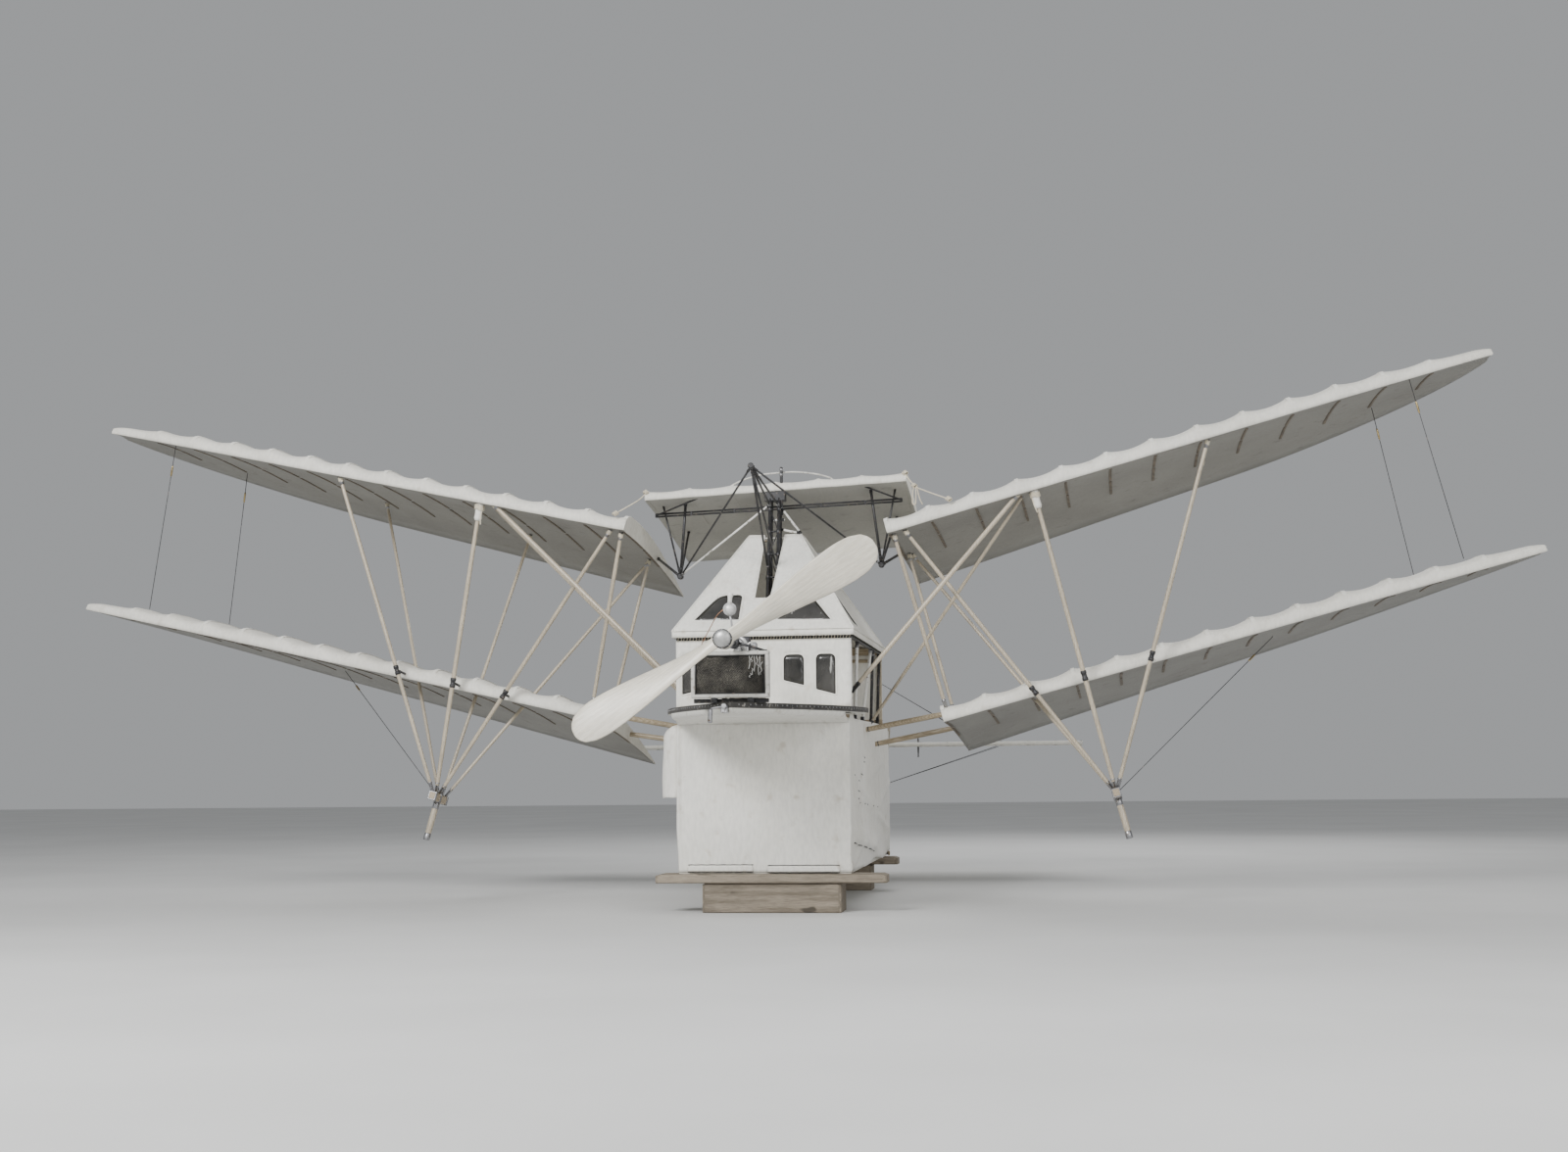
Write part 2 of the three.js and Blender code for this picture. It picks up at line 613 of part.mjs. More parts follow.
function cellPoint(sideName, span, chord, normal) {
  const side = SIDES[sideName];
  const p = point(span, chord, normal);
  p.applyAxisAngle(new THREE.Vector3(1, 0, 0), -side.incidence);
  p.applyAxisAngle(new THREE.Vector3(0, 1, 0), -side.dihedral);
  p.applyAxisAngle(new THREE.Vector3(0, 0, 1), side.sweep);
  return point(side.sign * (p.x + side.root[0]), p.y + side.root[1], p.z + side.root[2]);
}

// Point of a wing by its rib station, distance behind the leading edge and height
function wingPoint(sideName, level, rib, along, height) {
  const twist = (WASHOUT * rib) / RIB_BAYS;
  const front = level === 'upper' ? 0 : STAGGER;
  const base = level === 'upper' ? WING_GAP : 0;
  return cellPoint(
    sideName, rib * RIB_PITCH,
    front + along * Math.cos(twist) - height * Math.sin(twist),
    base + height * Math.cos(twist) + along * Math.sin(twist),
  );
}

// Point inside a wing, `depth` of the way up from its lower skin
function onWing(sideName, level, rib, along, depth) {
  const low = foilAt(along / CHORD, 2);
  const high = foilAt(along / CHORD, 1);
  return wingPoint(sideName, level, rib, along, low + depth * (high - low));
}

function foilOutline(chord, thin, sag) {
  const upper = AIRFOIL.map(
    ([u, high]) => [u * chord + (u === 0 ? sag * 0.5 : 0), (high - sag * (u < 1)) * thin],
  );
  const lower = AIRFOIL.map(([u, , low]) => [u * chord + (u === 0 ? sag * 0.5 : 0), low * thin]).reverse();
  return flat([...upper, ...lower]);
}

function wingRings(sideName, level) {
  const stations = Array.from({ length: 2 * RIB_BAYS }, (_, i) => i / 2);
  stations.push(RIB_BAYS - 0.05, TIP_RIB);
  return stations.map((rib) => {
    const share = tipShare(rib);
    const sag = rib % 1 === 0.5 ? RIB_CREST * share : 0;
    const front = leadingEdge(rib, CHORD);
    const thin = 0.25 + 0.75 * share;
    const outline = foilOutline(CHORD * share, thin, sag);
    return outline.map((p) => wingPoint(sideName, level, rib, front + p.x, p.y));
  });
}

const foilCap = flat([...AIRFOIL.map(([u, high]) => [u * CHORD, high]),
  ...AIRFOIL.map(([u, , low]) => [u * CHORD, low]).reverse()]);

const buildWing = (sideName, level) => loft(wingRings(sideName, level), foilCap);

function buildCentreWing() {
  const { halfWidth, chord } = CENTRE_WING;
  const bays = 6;
  const stations = Array.from({ length: 2 * bays + 1 }, (_, i) => i - bays);
  const rings = stations.map((i) => {
    const sag = i % 2 === 0 ? 0 : RIB_CREST * 0.6;
    return foilOutline(chord, 0.66, sag).map((p) => centrePoint((i / bays) * halfWidth, p.x, p.y));
  });
  return loft(rings, foilCap);
}

// Struts of one wing cell, each from the upper wing downwards

const KEEL_ORDER = {
  front_strut_a: -2.5, front_strut_b: -1.5, front_strut_c: -0.5,
  rear_strut_a: 0.5, rear_strut_b: 1.5, rear_strut_c: 2.5,
};
const keelPoint = (sideName, order) => cellPoint(
  sideName, APEX.span, APEX.chord + order * STRUT_PITCH, APEX.normal,
);

// The front stay ends on the second side post
const stayFoot = (sign) => {
  const post = sidePost(sign, SIDE_POSTS[1]);
  return post.from.lerp(post.to, STAY_SHARE);
};

// Rib station of the middle front strut, which the two stays start beside
const MIDDLE_RIB = { left: 3.6, right: 3.3 };

function cellStruts(sideName) {
  const s = SIDES[sideName].sign;
  const middle = MIDDLE_RIB[sideName];
  const toKeel = [
    // name, rib station on the upper wing, distance behind its leading edge, radius
    ['front_strut_a', 7.25, FRONT_SPAR, 19], ['front_strut_b', middle, FRONT_SPAR, 21],
    ['front_strut_c', 0.3, FRONT_SPAR, 19], ['rear_strut_a', 7.25, REAR_SPAR, 16],
    ['rear_strut_b', 3.3, REAR_SPAR, 16], ['rear_strut_c', 0.16, REAR_SPAR, 16],
  ];
  const struts = {};
  for (const [name, rib, along, radius] of toKeel) {
    struts[name] = {
      from: onWing(sideName, 'upper', rib, along, 0.45), to: keelPoint(sideName, KEEL_ORDER[name]), radius,
    };
  }
  struts.front_root = {
    from: onWing(sideName, 'upper', 0.12, FRONT_SPAR, 0.45),
    to: onWing(sideName, 'lower', 0.12, FRONT_SPAR, 0.45), radius: 19,
  };
  struts.rear_root = {
    from: onWing(sideName, 'upper', 0.16, REAR_SPAR - 90, 0.45),
    to: onWing(sideName, 'lower', 0.16, REAR_SPAR - 520, 0.45), radius: 16,
  };
  struts.front_stay = {
    from: onWing(sideName, 'upper', middle - 0.16, FRONT_SPAR, 0.45), to: stayFoot(s), radius: 21,
  };
  struts.rear_stay = {
    from: onWing(sideName, 'upper', middle - 0.06, FRONT_SPAR + 66, 0.45),
    to: point(s * (HULL_HALF_WIDTH - 30), 1750, 1570),
    radius: 16,
  };
  struts.front_stub = {
    from: point(s * (HULL_HALF_WIDTH - 60), 1345, 1545),
    to: onWing(sideName, 'lower', 0.25, 190, 0.5),
    radius: 26,
  };
  struts.rear_stub = {
    from: point(s * (HULL_HALF_WIDTH - 60), 2120, 1420),
    to: onWing(sideName, 'lower', 0.25, 1250, 0.5),
    radius: 26,
  };
  return struts;
}

// Rib stations of the front struts on the upper wing
const clamped = (sideName) => ({
  front_strut_a: 7.25, front_strut_b: MIDDLE_RIB[sideName], front_strut_c: 0.3,
});

// Clamp that ties a front strut to the lower wing's leading edge, which it passes
function strutClamp(sideName, strut, name) {
  const level = WING_GAP / (WING_GAP - APEX.normal);
  const crossing = strut.from.clone().lerp(strut.to, level);
  const span = clamped(sideName)[name] * RIB_PITCH;
  const rib = (span + (APEX.span - span) * level) / RIB_PITCH;
  const inside = onWing(sideName, 'lower', rib, 60, 0.3);
  const forward = crossing.clone().add(crossing.clone().sub(inside).setLength(34));
  return bar(forward, inside, 24, 0, 8);
}

// Float mount: the keel bar where the struts meet, and the post below it
function buildFloatMount(sideName, struts) {
  const half = 3.4 * STRUT_PITCH;
  const corners = [-half, half].map((dy) => [[-34, -44], [34, -44], [34, 30], [-34, 30]].map(
    ([dx, dz]) => cellPoint(sideName, APEX.span + dx, APEX.chord + dy, APEX.normal + dz),
  ));
  const keel = loft(corners, flat([[-1, -1], [1, -1], [1, 1], [-1, 1]]));
  const post = bar(
    cellPoint(sideName, APEX.span, APEX.chord, APEX.normal - 30),
    cellPoint(sideName, APEX.span, APEX.chord, APEX.normal - MOUNT_POST), 30, 0, 12,
  );
  return cut(join([keel, post]), struts.map(strutSocket));
}

// Tail: a fixed plane with a hinged elevator behind it, a fin and a rudder

function buildTailplane() {
  const { y, halfSpan, chord, height, thickness } = TAIL;
  const outline = flat([
    [-halfSpan, y + 260], [-halfSpan + 170, y], [halfSpan - 170, y], [halfSpan, y + 260],
    [halfSpan, y + chord], [-halfSpan, y + chord],
  ]);
  const panel = plate(outline, thickness, (x, yy, d) => point(x, yy, height - thickness / 2 + d));
  const ears = [-2300, -1200, -420, 420, 1200, 2300].map((x) => box(
    x - 18, x + 18, y + chord - 60, HINGE_Y + 20, height - 20, height + 20,
  ));
  return join([panel, ...ears]);
}

const hingeAxis = (radius, half, sides = 16) => bar(
  point(-half, HINGE_Y, TAIL.height), point(half, HINGE_Y, TAIL.height), radius, 0, sides,
);

function buildElevator() {
  const { front, chord, innerGap } = ELEVATOR;
  const outline = (s) => flat([
    [s * innerGap, front], [s * TAIL.halfSpan, front], [s * (TAIL.halfSpan - 90), front + chord],
    [s * (innerGap + 130), front + chord],
  ]);
  const panels = [-1, 1].map((s) => plate(
    outline(s), TAIL.thickness - 16, (x, y, d) => point(x, y, TAIL.height - TAIL.thickness / 2 + 8 + d),
  ));
  const arms = [-2100, -1600, -800, 800, 1600, 2100].map((x) => box(
    x - 20, x + 20, HINGE_Y, front + 40, TAIL.height - 12, TAIL.height + 12,
  ));
  return join([...panels, ...arms, hingeAxis(HINGE_ROD, TAIL.halfSpan - 150)]);
}

function buildFin() {
  const foot = TAIL.height + TAIL.thickness / 2 + FIT;
  const post = RUDDER.y - 40;
  const outline = flat([
    [FIN.front, foot], [FIN.back, foot], [FIN.back + 40, FIN.undercut], [post, FIN.undercut],
    [post, FIN.top], [post - 290, FIN.top - 90],
  ]);
  const blade = plate(outline, 36, (y, z, d) => point(-18 + d, y, z));
  const ears = [1700, 2120, 2500].map((z) => box(-22, 22, RUDDER.y - 60, RUDDER.y + 22, z - 20, z + 20));
  return join([blade, ...ears]);
}

const rudderAxis = (radius, sides = 16) => bar(
  point(0, RUDDER.y, RUDDER.bottom), point(0, RUDDER.y, RUDDER.top), radius, 0, sides,
);

function buildRudder() {
  const edge = RUDDER.y + 40;
  const outline = flat([
    [edge, RUDDER.bottom + 200], [edge + RUDDER.chord - 120, RUDDER.bottom + 300],
    [edge + RUDDER.chord, RUDDER.bottom + 620], [edge + RUDDER.chord - 160, RUDDER.top],
    [edge, RUDDER.top],
  ]);
  const blade = plate(outline, 30, (y, z, d) => point(-15 + d, y, z));
  const arms = [1900, 2300, 2640].map((z) => box(-12, 12, RUDDER.y, edge + 20, z - 20, z + 20));
  return join([blade, ...arms, rudderAxis(HINGE_ROD)]);
}

// Seat bench and backrest on the cockpit floor
function buildSeat() {
  const floor = COCKPIT.floor + FIT;
  return join([
    box(-520, 520, 1500, 1960, floor + 330, floor + 380),
    box(-520, 520, 1940, 1990, floor + 340, floor + 820),
    ...[-500, 0, 500].map((x) => box(x - 20, x + 20, 1520, 1960, floor, floor + 340)),
  ]);
}

// Assembly

function buildCell(sideName) {
  const struts = cellStruts(sideName);
  const all = Object.values(struts);
  const link = trussBars(sideName)[3];
  const clamps = Object.keys(clamped(sideName)).map((name) => strutClamp(sideName, struts[name], name));
  const upper = cut(buildWing(sideName, 'upper'), [...all, link].map(strutSocket));
  const lower = cut(join([buildWing(sideName, 'lower'), ...clamps]), all.map(strutSocket));
  addPart(`upper_wing_${sideName}`, upper, 'doped');
  addPart(`lower_wing_${sideName}`, lower, 'doped');
  for (const name of Object.keys(struts)) {
    const notches = name === 'front_stay' ? [strutSocket(sidePost(SIDES[sideName].sign, SIDE_POSTS[1]))] : [];
    addPart(`${name}_${sideName}`, cut(strutSolid(struts[name]), notches), 'spruce');
  }
  const keelStruts = Object.keys(KEEL_ORDER).map((name) => struts[name]);
  addPart(`float_mount_${sideName}`, buildFloatMount(sideName, keelStruts), 'steel');
  return struts;
}

const cells = { right: buildCell('right'), left: buildCell('left') };
const hullCutters = ['right', 'left'].flatMap((side) => [
  cells[side].front_stub, cells[side].rear_stub, cells[side].rear_stay,
]).map(strutSocket);

addPart('hull', cut(buildHull(), hullCutters), 'painted');
buildCradle();
addPart('bow_cover', cut(buildCover(), hullCutters), 'canvas');
addPart('foredeck', buildForedeck(), 'spruce');
addPart('deck_beams', buildDeckBeams(), 'spruce');
addPart('engine_bearers', buildBearers(), 'steel');
addPart('engine', buildEngine(), 'iron');
addPart('radiator', buildRadiator(), 'brass');
addPart('starting_crank', buildCrank(), 'steel');
addPart('propeller', buildPropeller(), 'spruce');
addPart('cabin_front', buildCabinFront(), 'painted');
addPart('cabin_rear', buildCabinRear(), 'painted');
addPart('cabin_posts_left', buildPosts(-1), 'steel');
addPart('cabin_posts_right', buildPosts(1), 'steel');
addPart('seat', buildSeat(), 'spruce');
addPart('roof', buildRoof(), 'canvas');

const pylon = join([...pylonBars().map(strutSolid), ...pylonFittings()]);
const trussSides = { right: trussBars('right'), left: trussBars('left') };
const trusses = [...trussSides.right, ...trussSides.left];
const kingpost = join([
  ...kingpostBars().map(strutSolid), bar(point(0, -565, 3729), point(0, -495, 3729), 30, 0, 10),
]);
const spreader = spreaderBars();
const spreaderTies = ['from', 'to'].map((end) => bar(spreader[0][end], spreader[1][end], 8, 8));
addPart('pylon', cut(pylon, [...kingpostBars(), ...spreader].map(strutSocket)), 'steel');
const corners = ['right', 'left'].map((side) => cornerFitting(side, FIT));
addPart('kingpost', cut(kingpost, [...spreader.map(strutSocket), ...corners]), 'steel');
for (const side of ['right', 'left']) {
  const truss = join([...trussSides[side].map(strutSolid), cornerFitting(side, 0)]);
  addPart(`truss_${side}`, cut(truss, spreader.map(strutSocket)), 'steel');
}
addPart('spreader_bars', join([...spreader.map(strutSolid), ...spreaderTies]), 'steel');
const wingSockets = [...trusses.map(strutSocket), saddle(FIT), mast(FIT)];
addPart('centre_wing', cut(buildCentreWing(), wingSockets), 'doped');

addPart('tailplane', buildTailplane().subtract(hingeAxis(HINGE_ROD + BEARING_PLAY, TAIL.halfSpan)), 'doped');
addPart('elevator', buildElevator(), 'doped');
addPart('fin', buildFin().subtract(rudderAxis(HINGE_ROD + BEARING_PLAY)), 'doped');
addPart('rudder', buildRudder(), 'doped');

export default airframe;
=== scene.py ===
import math

import bpy
import numpy as np
from mathutils import Matrix, Vector, geometry, noise


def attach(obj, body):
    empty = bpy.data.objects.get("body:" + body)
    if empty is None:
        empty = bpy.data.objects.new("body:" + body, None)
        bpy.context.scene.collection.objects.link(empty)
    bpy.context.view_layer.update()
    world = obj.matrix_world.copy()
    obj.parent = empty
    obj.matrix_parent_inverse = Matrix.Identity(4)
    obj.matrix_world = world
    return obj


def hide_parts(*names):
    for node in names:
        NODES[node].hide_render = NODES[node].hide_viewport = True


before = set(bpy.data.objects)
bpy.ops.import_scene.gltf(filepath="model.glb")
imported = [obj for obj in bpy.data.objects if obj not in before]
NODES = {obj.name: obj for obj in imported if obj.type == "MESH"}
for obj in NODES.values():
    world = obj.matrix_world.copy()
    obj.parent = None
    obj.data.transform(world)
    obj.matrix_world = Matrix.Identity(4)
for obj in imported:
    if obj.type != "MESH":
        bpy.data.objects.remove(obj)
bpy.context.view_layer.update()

# Camera, floor and light

CAMERA = {"place": (2.603, -16.634, 1.199), "yaw": 0.144, "pitch": 0.098, "roll": 0.010, "lens": 45.28}


def add_camera():
    data = bpy.data.cameras.new("camera")
    data.lens = CAMERA["lens"]
    data.sensor_width = 36
    data.clip_end = 200
    camera = bpy.data.objects.new("camera", data)
    bpy.context.scene.collection.objects.link(camera)
    turn = Matrix.Rotation(CAMERA["yaw"], 4, "Z") @ Matrix.Rotation(CAMERA["pitch"], 4, "X")
    turn = turn @ Matrix.Rotation(CAMERA["roll"], 4, "Y") @ Matrix.Rotation(math.pi / 2, 4, "X")
    camera.matrix_world = Matrix.Translation(CAMERA["place"]) @ turn
    bpy.context.scene.camera = camera


LAMPS = (
    # name, place, target, size, watts
    ("key", (-6.0, -13.0, 10.5), (0, 1.5, 2.2), 6.0, 2900),
    ("fill", (9.0, -11.0, 7.0), (0, 1.0, 2.0), 8.0, 900),
    ("back", (3.0, 14.0, 11.0), (0, 2.0, 2.0), 8.0, 1000),
)
SKY = {"color": (0.86, 0.88, 0.90, 1), "strength": 0.42}


def add_lights():
    for name, place, target, size, watts in LAMPS:
        data = bpy.data.lights.new(name, "AREA")
        data.size = size
        data.energy = watts
        lamp = bpy.data.objects.new(name, data)
        bpy.context.scene.collection.objects.link(lamp)
        lamp.location = place
        lamp.rotation_euler = (Vector(target) - Vector(place)).to_track_quat("-Z", "Y").to_euler()
    world = bpy.data.worlds.new("studio")
    bpy.context.scene.world = world
    world.use_nodes = True
    sky = world.node_tree.nodes["Background"]
    sky.inputs["Color"].default_value = SKY["color"]
    sky.inputs["Strength"].default_value = SKY["strength"]


# Materials

class Look:
    """A material whose nodes are built in metres of object space."""

    def __init__(self, name, roughness, metallic=0.0, **sockets):
        self.material = bpy.data.materials.new(name)
        self.material.use_nodes = True
        self.tree = self.material.node_tree
        self.shader = self.tree.nodes["Principled BSDF"]
        self.shader.inputs["Roughness"].default_value = roughness
        self.shader.inputs["Metallic"].default_value = metallic
        for socket, value in sockets.items():
            self.shader.inputs[socket.replace("_", " ")].default_value = value
        self.place = self.node("ShaderNodeTexCoord").outputs["Object"]

    def node(self, kind, settings=None, **inputs):
        made = self.tree.nodes.new(kind)
        for key, value in (settings or {}).items():
            setattr(made, key, value)
        for key, value in inputs.items():
            socket = made.inputs[key.replace("_", " ")]
            if isinstance(value, bpy.types.NodeSocket):
                self.tree.links.new(value, socket)
            else:
                socket.default_value = value
        return made

    def stretched(self, scale):
        return self.node("ShaderNodeMapping", Vector=self.place, Scale=scale).outputs["Vector"]

    def noise(self, scale, detail=3.0, stretch=None):
        place = self.stretched(stretch) if stretch else self.place
        return self.node("ShaderNodeTexNoise", Vector=place, Scale=scale, Detail=detail).outputs["Fac"]

    def wave(self, scale, axis, distortion=0.0, stretch=None):
        place = self.stretched(stretch) if stretch else self.place
        settings = {"wave_type": "BANDS", "bands_direction": axis}
        return self.node(
            "ShaderNodeTexWave", settings, Vector=place, Scale=scale, Distortion=distortion, Detail_Scale=1.5,
        ).outputs["Fac"]

    def ramp(self, fac, *stops):
        made = self.node("ShaderNodeValToRGB", Fac=fac)
        elements = made.color_ramp.elements
        while len(elements) < len(stops):
            elements.new(0.5)
        for element, (position, color) in zip(elements, stops):
            element.position = position
            element.color = (*color, 1)
        return made.outputs["Color"]

    def grey(self, fac, low, high, low_at=0.35, high_at=0.65):
        return self.ramp(fac, (low_at, (low,) * 3), (high_at, (high,) * 3))

    def blend(self, a, b, fac, mode="MIX"):
        """Colours a and b mixed by a number or socket: the Mix node's colour sockets go by number."""
        made = self.node("ShaderNodeMix", {"data_type": "RGBA", "blend_type": mode})
        for index, value in ((0, fac), (6, a), (7, b)):
            socket = made.inputs[index]
            if isinstance(value, bpy.types.NodeSocket):
                self.tree.links.new(value, socket)
            else:
                socket.default_value = value if index == 0 else (*value, 1)
        return made.outputs[2]

    def color(self, value):
        self.tree.links.new(value, self.shader.inputs["Base Color"])

    def rough(self, value):
        self.tree.links.new(value, self.shader.inputs["Roughness"])

    def bump(self, *layers):
        """Layers of (height, strength, distance in metres), the first applied first."""
        normal = None
        for height, strength, distance in layers:
            made = self.node("ShaderNodeBump", Height=height, Strength=strength, Distance=distance)
            if normal:
                self.tree.links.new(normal, made.inputs["Normal"])
            normal = made.outputs["Normal"]
        self.tree.links.new(normal, self.shader.inputs["Normal"])
        return self.material


def fabric_look(name, light, dark, soil, weave, roughness=0.85):
    look = Look(name, roughness, Sheen_Weight=0.15)
    base = look.ramp(look.noise(1.3, 5), (0.30, dark), (0.62, light))
    fine = look.grey(look.noise(38, 3, (1, 1, 0.35)), 0.90, 1.0)
    base = look.blend(base, fine, 1.0, "MULTIPLY")
    specks = look.grey(look.noise(9, 6), 1.0, 0.0, 0.60, 0.74)
    base = look.blend(soil, base, specks)
    look.color(base)
    threads = look.blend(look.wave(weave, "Z", 0.6), look.wave(weave, "X", 0.6), 0.5)
    return look.bump(
        (look.noise(2.4, 3), 0.35, 0.012), (look.noise(26, 4), 0.20, 0.002), (threads, 0.25, 0.0006),
    )


def wood_look(name, light, dark, axis, roughness=0.45, coat=0.0, ring=26, rough_grain=0.2, knots=False):
    look = Look(name, roughness, Coat_Weight=coat, Coat_Roughness=0.25)

    def along_grain(share):
        return tuple(share if letter == axis else 1.0 for letter in "XYZ")

    stretch = along_grain(0.06)
    rings = look.wave(ring, "XYZ"[("XYZ".index(axis) + 1) % 3], 5.0, stretch)
    grain = look.noise(240, 4, stretch)
    base = look.ramp(rings, (0.15, light), (0.85, dark))
    base = look.blend(base, look.grey(grain, 0.72, 1.0, 0.35, 0.6), 1.0, "MULTIPLY")
    patches = look.grey(look.noise(3.1, 4), 0.80, 1.0)
    base = look.blend(base, patches, 1.0, "MULTIPLY")
    if knots:
        spots = look.grey(look.noise(7.5, 2, along_grain(0.5)), 1.0, 0.0, 0.66, 0.72)
        base = look.blend(tuple(0.35 * c for c in dark), base, spots)
    look.color(base)
    look.rough(look.grey(grain, roughness + 0.12, roughness - 0.08))
    return look.bump((rings, 0.12, 0.001), (grain, rough_grain, 0.0012))


# Scale of the noise in metal and paint
GRAIN = 14


def metal_look(name, light, dark, roughness, metallic, worn=None):
    look = Look(name, roughness, metallic)
    base = look.ramp(look.noise(GRAIN, 5), (0.35, dark), (0.65, light))
    if worn:
        spots = look.grey(look.noise(GRAIN * 2.6, 6), 1.0, 0.0, 0.60, 0.68)
        base = look.blend(worn, base, spots)
    look.color(base)
    look.rough(look.grey(look.noise(GRAIN * 1.7, 4), roughness - 0.1, roughness + 0.12))
    return look.bump((look.noise(GRAIN * 9, 4), 0.15, 0.001))


def radiator_look():
    look = Look("radiator_core", 0.5, 0.65)
    cells = look.node(
        "ShaderNodeTexVoronoi", {"feature": "DISTANCE_TO_EDGE"}, Vector=look.stretched((1, 0.2, 1)),
        Scale=105,
    ).outputs["Distance"]
    # The cell centres go near black: painted shade in the core's passages.
    holes = look.grey(cells, 1.0, 0.0, 0.12, 0.34)
    tone = look.ramp(look.noise(7, 5), (0.35, (0.014, 0.013, 0.011)), (0.68, (0.085, 0.078, 0.065)))
    base = look.blend((0.006, 0.006, 0.006), tone, holes)
    drips = look.grey(look.noise(16, 4, (1, 1, 0.12)), 1.0, 0.0, 0.69, 0.73)
    look.color(look.blend((0.55, 0.53, 0.48), base, drips))
    return look.bump((holes, 0.8, 0.004))


def floor_look():
    look = Look("floor", 0.8)
    tone = look.ramp(look.noise(0.5, 4), (0.3, (0.60, 0.60, 0.59)), (0.7, (0.66, 0.66, 0.65)))
    look.color(tone)
    return look.bump((look.noise(60, 4), 0.1, 0.001))


CANVAS = fabric_look("canvas", (0.86, 0.845, 0.79), (0.78, 0.76, 0.69), (0.62, 0.58, 0.50), 520)
LINEN = fabric_look("doped_linen", (0.80, 0.78, 0.71), (0.72, 0.70, 0.63), (0.64, 0.61, 0.54), 900, 0.72)
# Darker copies of the doped linen for the undersides of the centre wing and the outer wings: painted shade
# under the wings, the cloth being the same as on top.
SHADED_CENTRE_UNDERSIDE = fabric_look(
    "centre_underside_painted_shade", (0.40, 0.39, 0.355), (0.34, 0.33, 0.30), (0.27, 0.26, 0.235), 900, 0.85,
)
SHADED_LINEN_UNDERSIDE = fabric_look(
    "linen_underside_painted_shade", (0.27, 0.262, 0.238), (0.225, 0.217, 0.195), (0.18, 0.17, 0.15), 900, 0.85,
)
WHITE_CANVAS = fabric_look("roof_canvas", (0.87, 0.86, 0.80), (0.80, 0.78, 0.71), (0.66, 0.62, 0.54), 520)
SPRUCE = wood_look("spruce_upright", (0.63, 0.55, 0.425), (0.49, 0.415, 0.30), "Z", 0.38, 0.4)
SPRUCE_X = wood_look("spruce_spanwise", (0.53, 0.44, 0.31), (0.39, 0.31, 0.20), "X", 0.42, 0.3)
SPRUCE_Y = wood_look("spruce_lengthwise", (0.53, 0.44, 0.31), (0.38, 0.30, 0.20), "Y", 0.45, 0.2)
DARK_BATTEN = wood_look("dark_batten", (0.20, 0.155, 0.105), (0.13, 0.098, 0.065), "Y", 0.6)
TIMBER = wood_look("rough_timber", (0.34, 0.29, 0.225), (0.225, 0.19, 0.145), "X", 0.85, 0.0, 14, 0.7, True)
BLACK = metal_look("black_steel", (0.050, 0.050, 0.052), (0.028, 0.028, 0.030), 0.42, 0.3, (0.16, 0.13, 0.11))
STEEL = metal_look("bare_steel", (0.42, 0.42, 0.43), (0.28, 0.28, 0.29), 0.38, 0.95, (0.20, 0.15, 0.11))
ALLOY = metal_look("cast_alloy", (0.56, 0.56, 0.57), (0.44, 0.44, 0.45), 0.48, 0.85, (0.25, 0.23, 0.21))
IRON = metal_look("cast_iron", (0.115, 0.115, 0.12), (0.06, 0.06, 0.062), 0.6, 0.6, (0.16, 0.12, 0.09))
BRASS = metal_look("dull_brass", (0.62, 0.48, 0.24), (0.42, 0.32, 0.16), 0.34, 0.95, (0.22, 0.17, 0.10))
COPPER = metal_look("copper_pipe", (0.60, 0.33, 0.20), (0.40, 0.21, 0.13), 0.36, 0.95, (0.20, 0.16, 0.12))
CORE = radiator_look()
ROPE = fabric_look("rope", (0.74, 0.68, 0.54), (0.58, 0.52, 0.40), (0.42, 0.37, 0.28), 700, 0.95)

add_camera()
add_lights()


# Geometry helpers

UP, AFT, FORE = (0, 0, 1), (0, 1, 0), (0, -1, 0)
# Thickness of each cloth
THICK = {"cover": 0.0018, "roof": 0.0028, "wall": 0.0025, "skirt": 0.0012, "pane": 0.001}


class Shape:
    """Vertices and faces of one piece, with a material for each face."""

    def __init__(self):
        self.points = []
        self.faces = []
        self.looks = []
        self.flats = []

    def add(self, points, faces, look, flat=False):
        start = len(self.points)
        self.points += [Vector(p) for p in points]
        for face in faces:
            self.add_face([start + i for i in face], look, flat)

    def add_face(self, face, look, flat=False):
        self.faces.append(face)
        self.looks.append(look)
        self.flats.append(flat)

    def place(self, name, body, slot, replaces=()):
        looks = list(dict.fromkeys(self.looks))
        mesh = bpy.data.meshes.new(name)
        mesh.from_pydata(self.points, [], self.faces)
        for look in looks:
            mesh.materials.append(look)
        index = {look: i for i, look in enumerate(looks)}
        mesh.polygons.foreach_set("material_index", [index[look] for look in self.looks])
        mesh.polygons.foreach_set("use_smooth", [not flat for flat in self.flats])
        mesh.update()
        made = bpy.data.objects.new(name, mesh)
        bpy.context.scene.collection.objects.link(made)
        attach(made, body)
        if replaces:
            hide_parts(*replaces)
        return made


def grid_faces(rows, columns, closed=False):
    wrap = columns if closed else columns - 1
    return [
        (
            r * columns + c, r * columns + (c + 1) % columns, (r + 1) * columns + (c + 1) % columns,
            (r + 1) * columns + c,
        )
        for r in range(rows - 1) for c in range(wrap)
    ]


def ringed_faces(rows, count, turn_last=False):
    """Faces round rings of points, and one over each end."""
    last = tuple((rows - 1) * count + k for k in range(count))
    return grid_faces(rows, count, closed=True) + [tuple(range(count)), last[::-1] if turn_last else last]


def cross_pair(axis):
    """Two directions across an axis and across each other."""
    other = Vector((0, 0, 1)) if abs(axis.z) < 0.9 else Vector((1, 0, 0))
    a = axis.cross(other).normalized()
    return a, axis.cross(a)


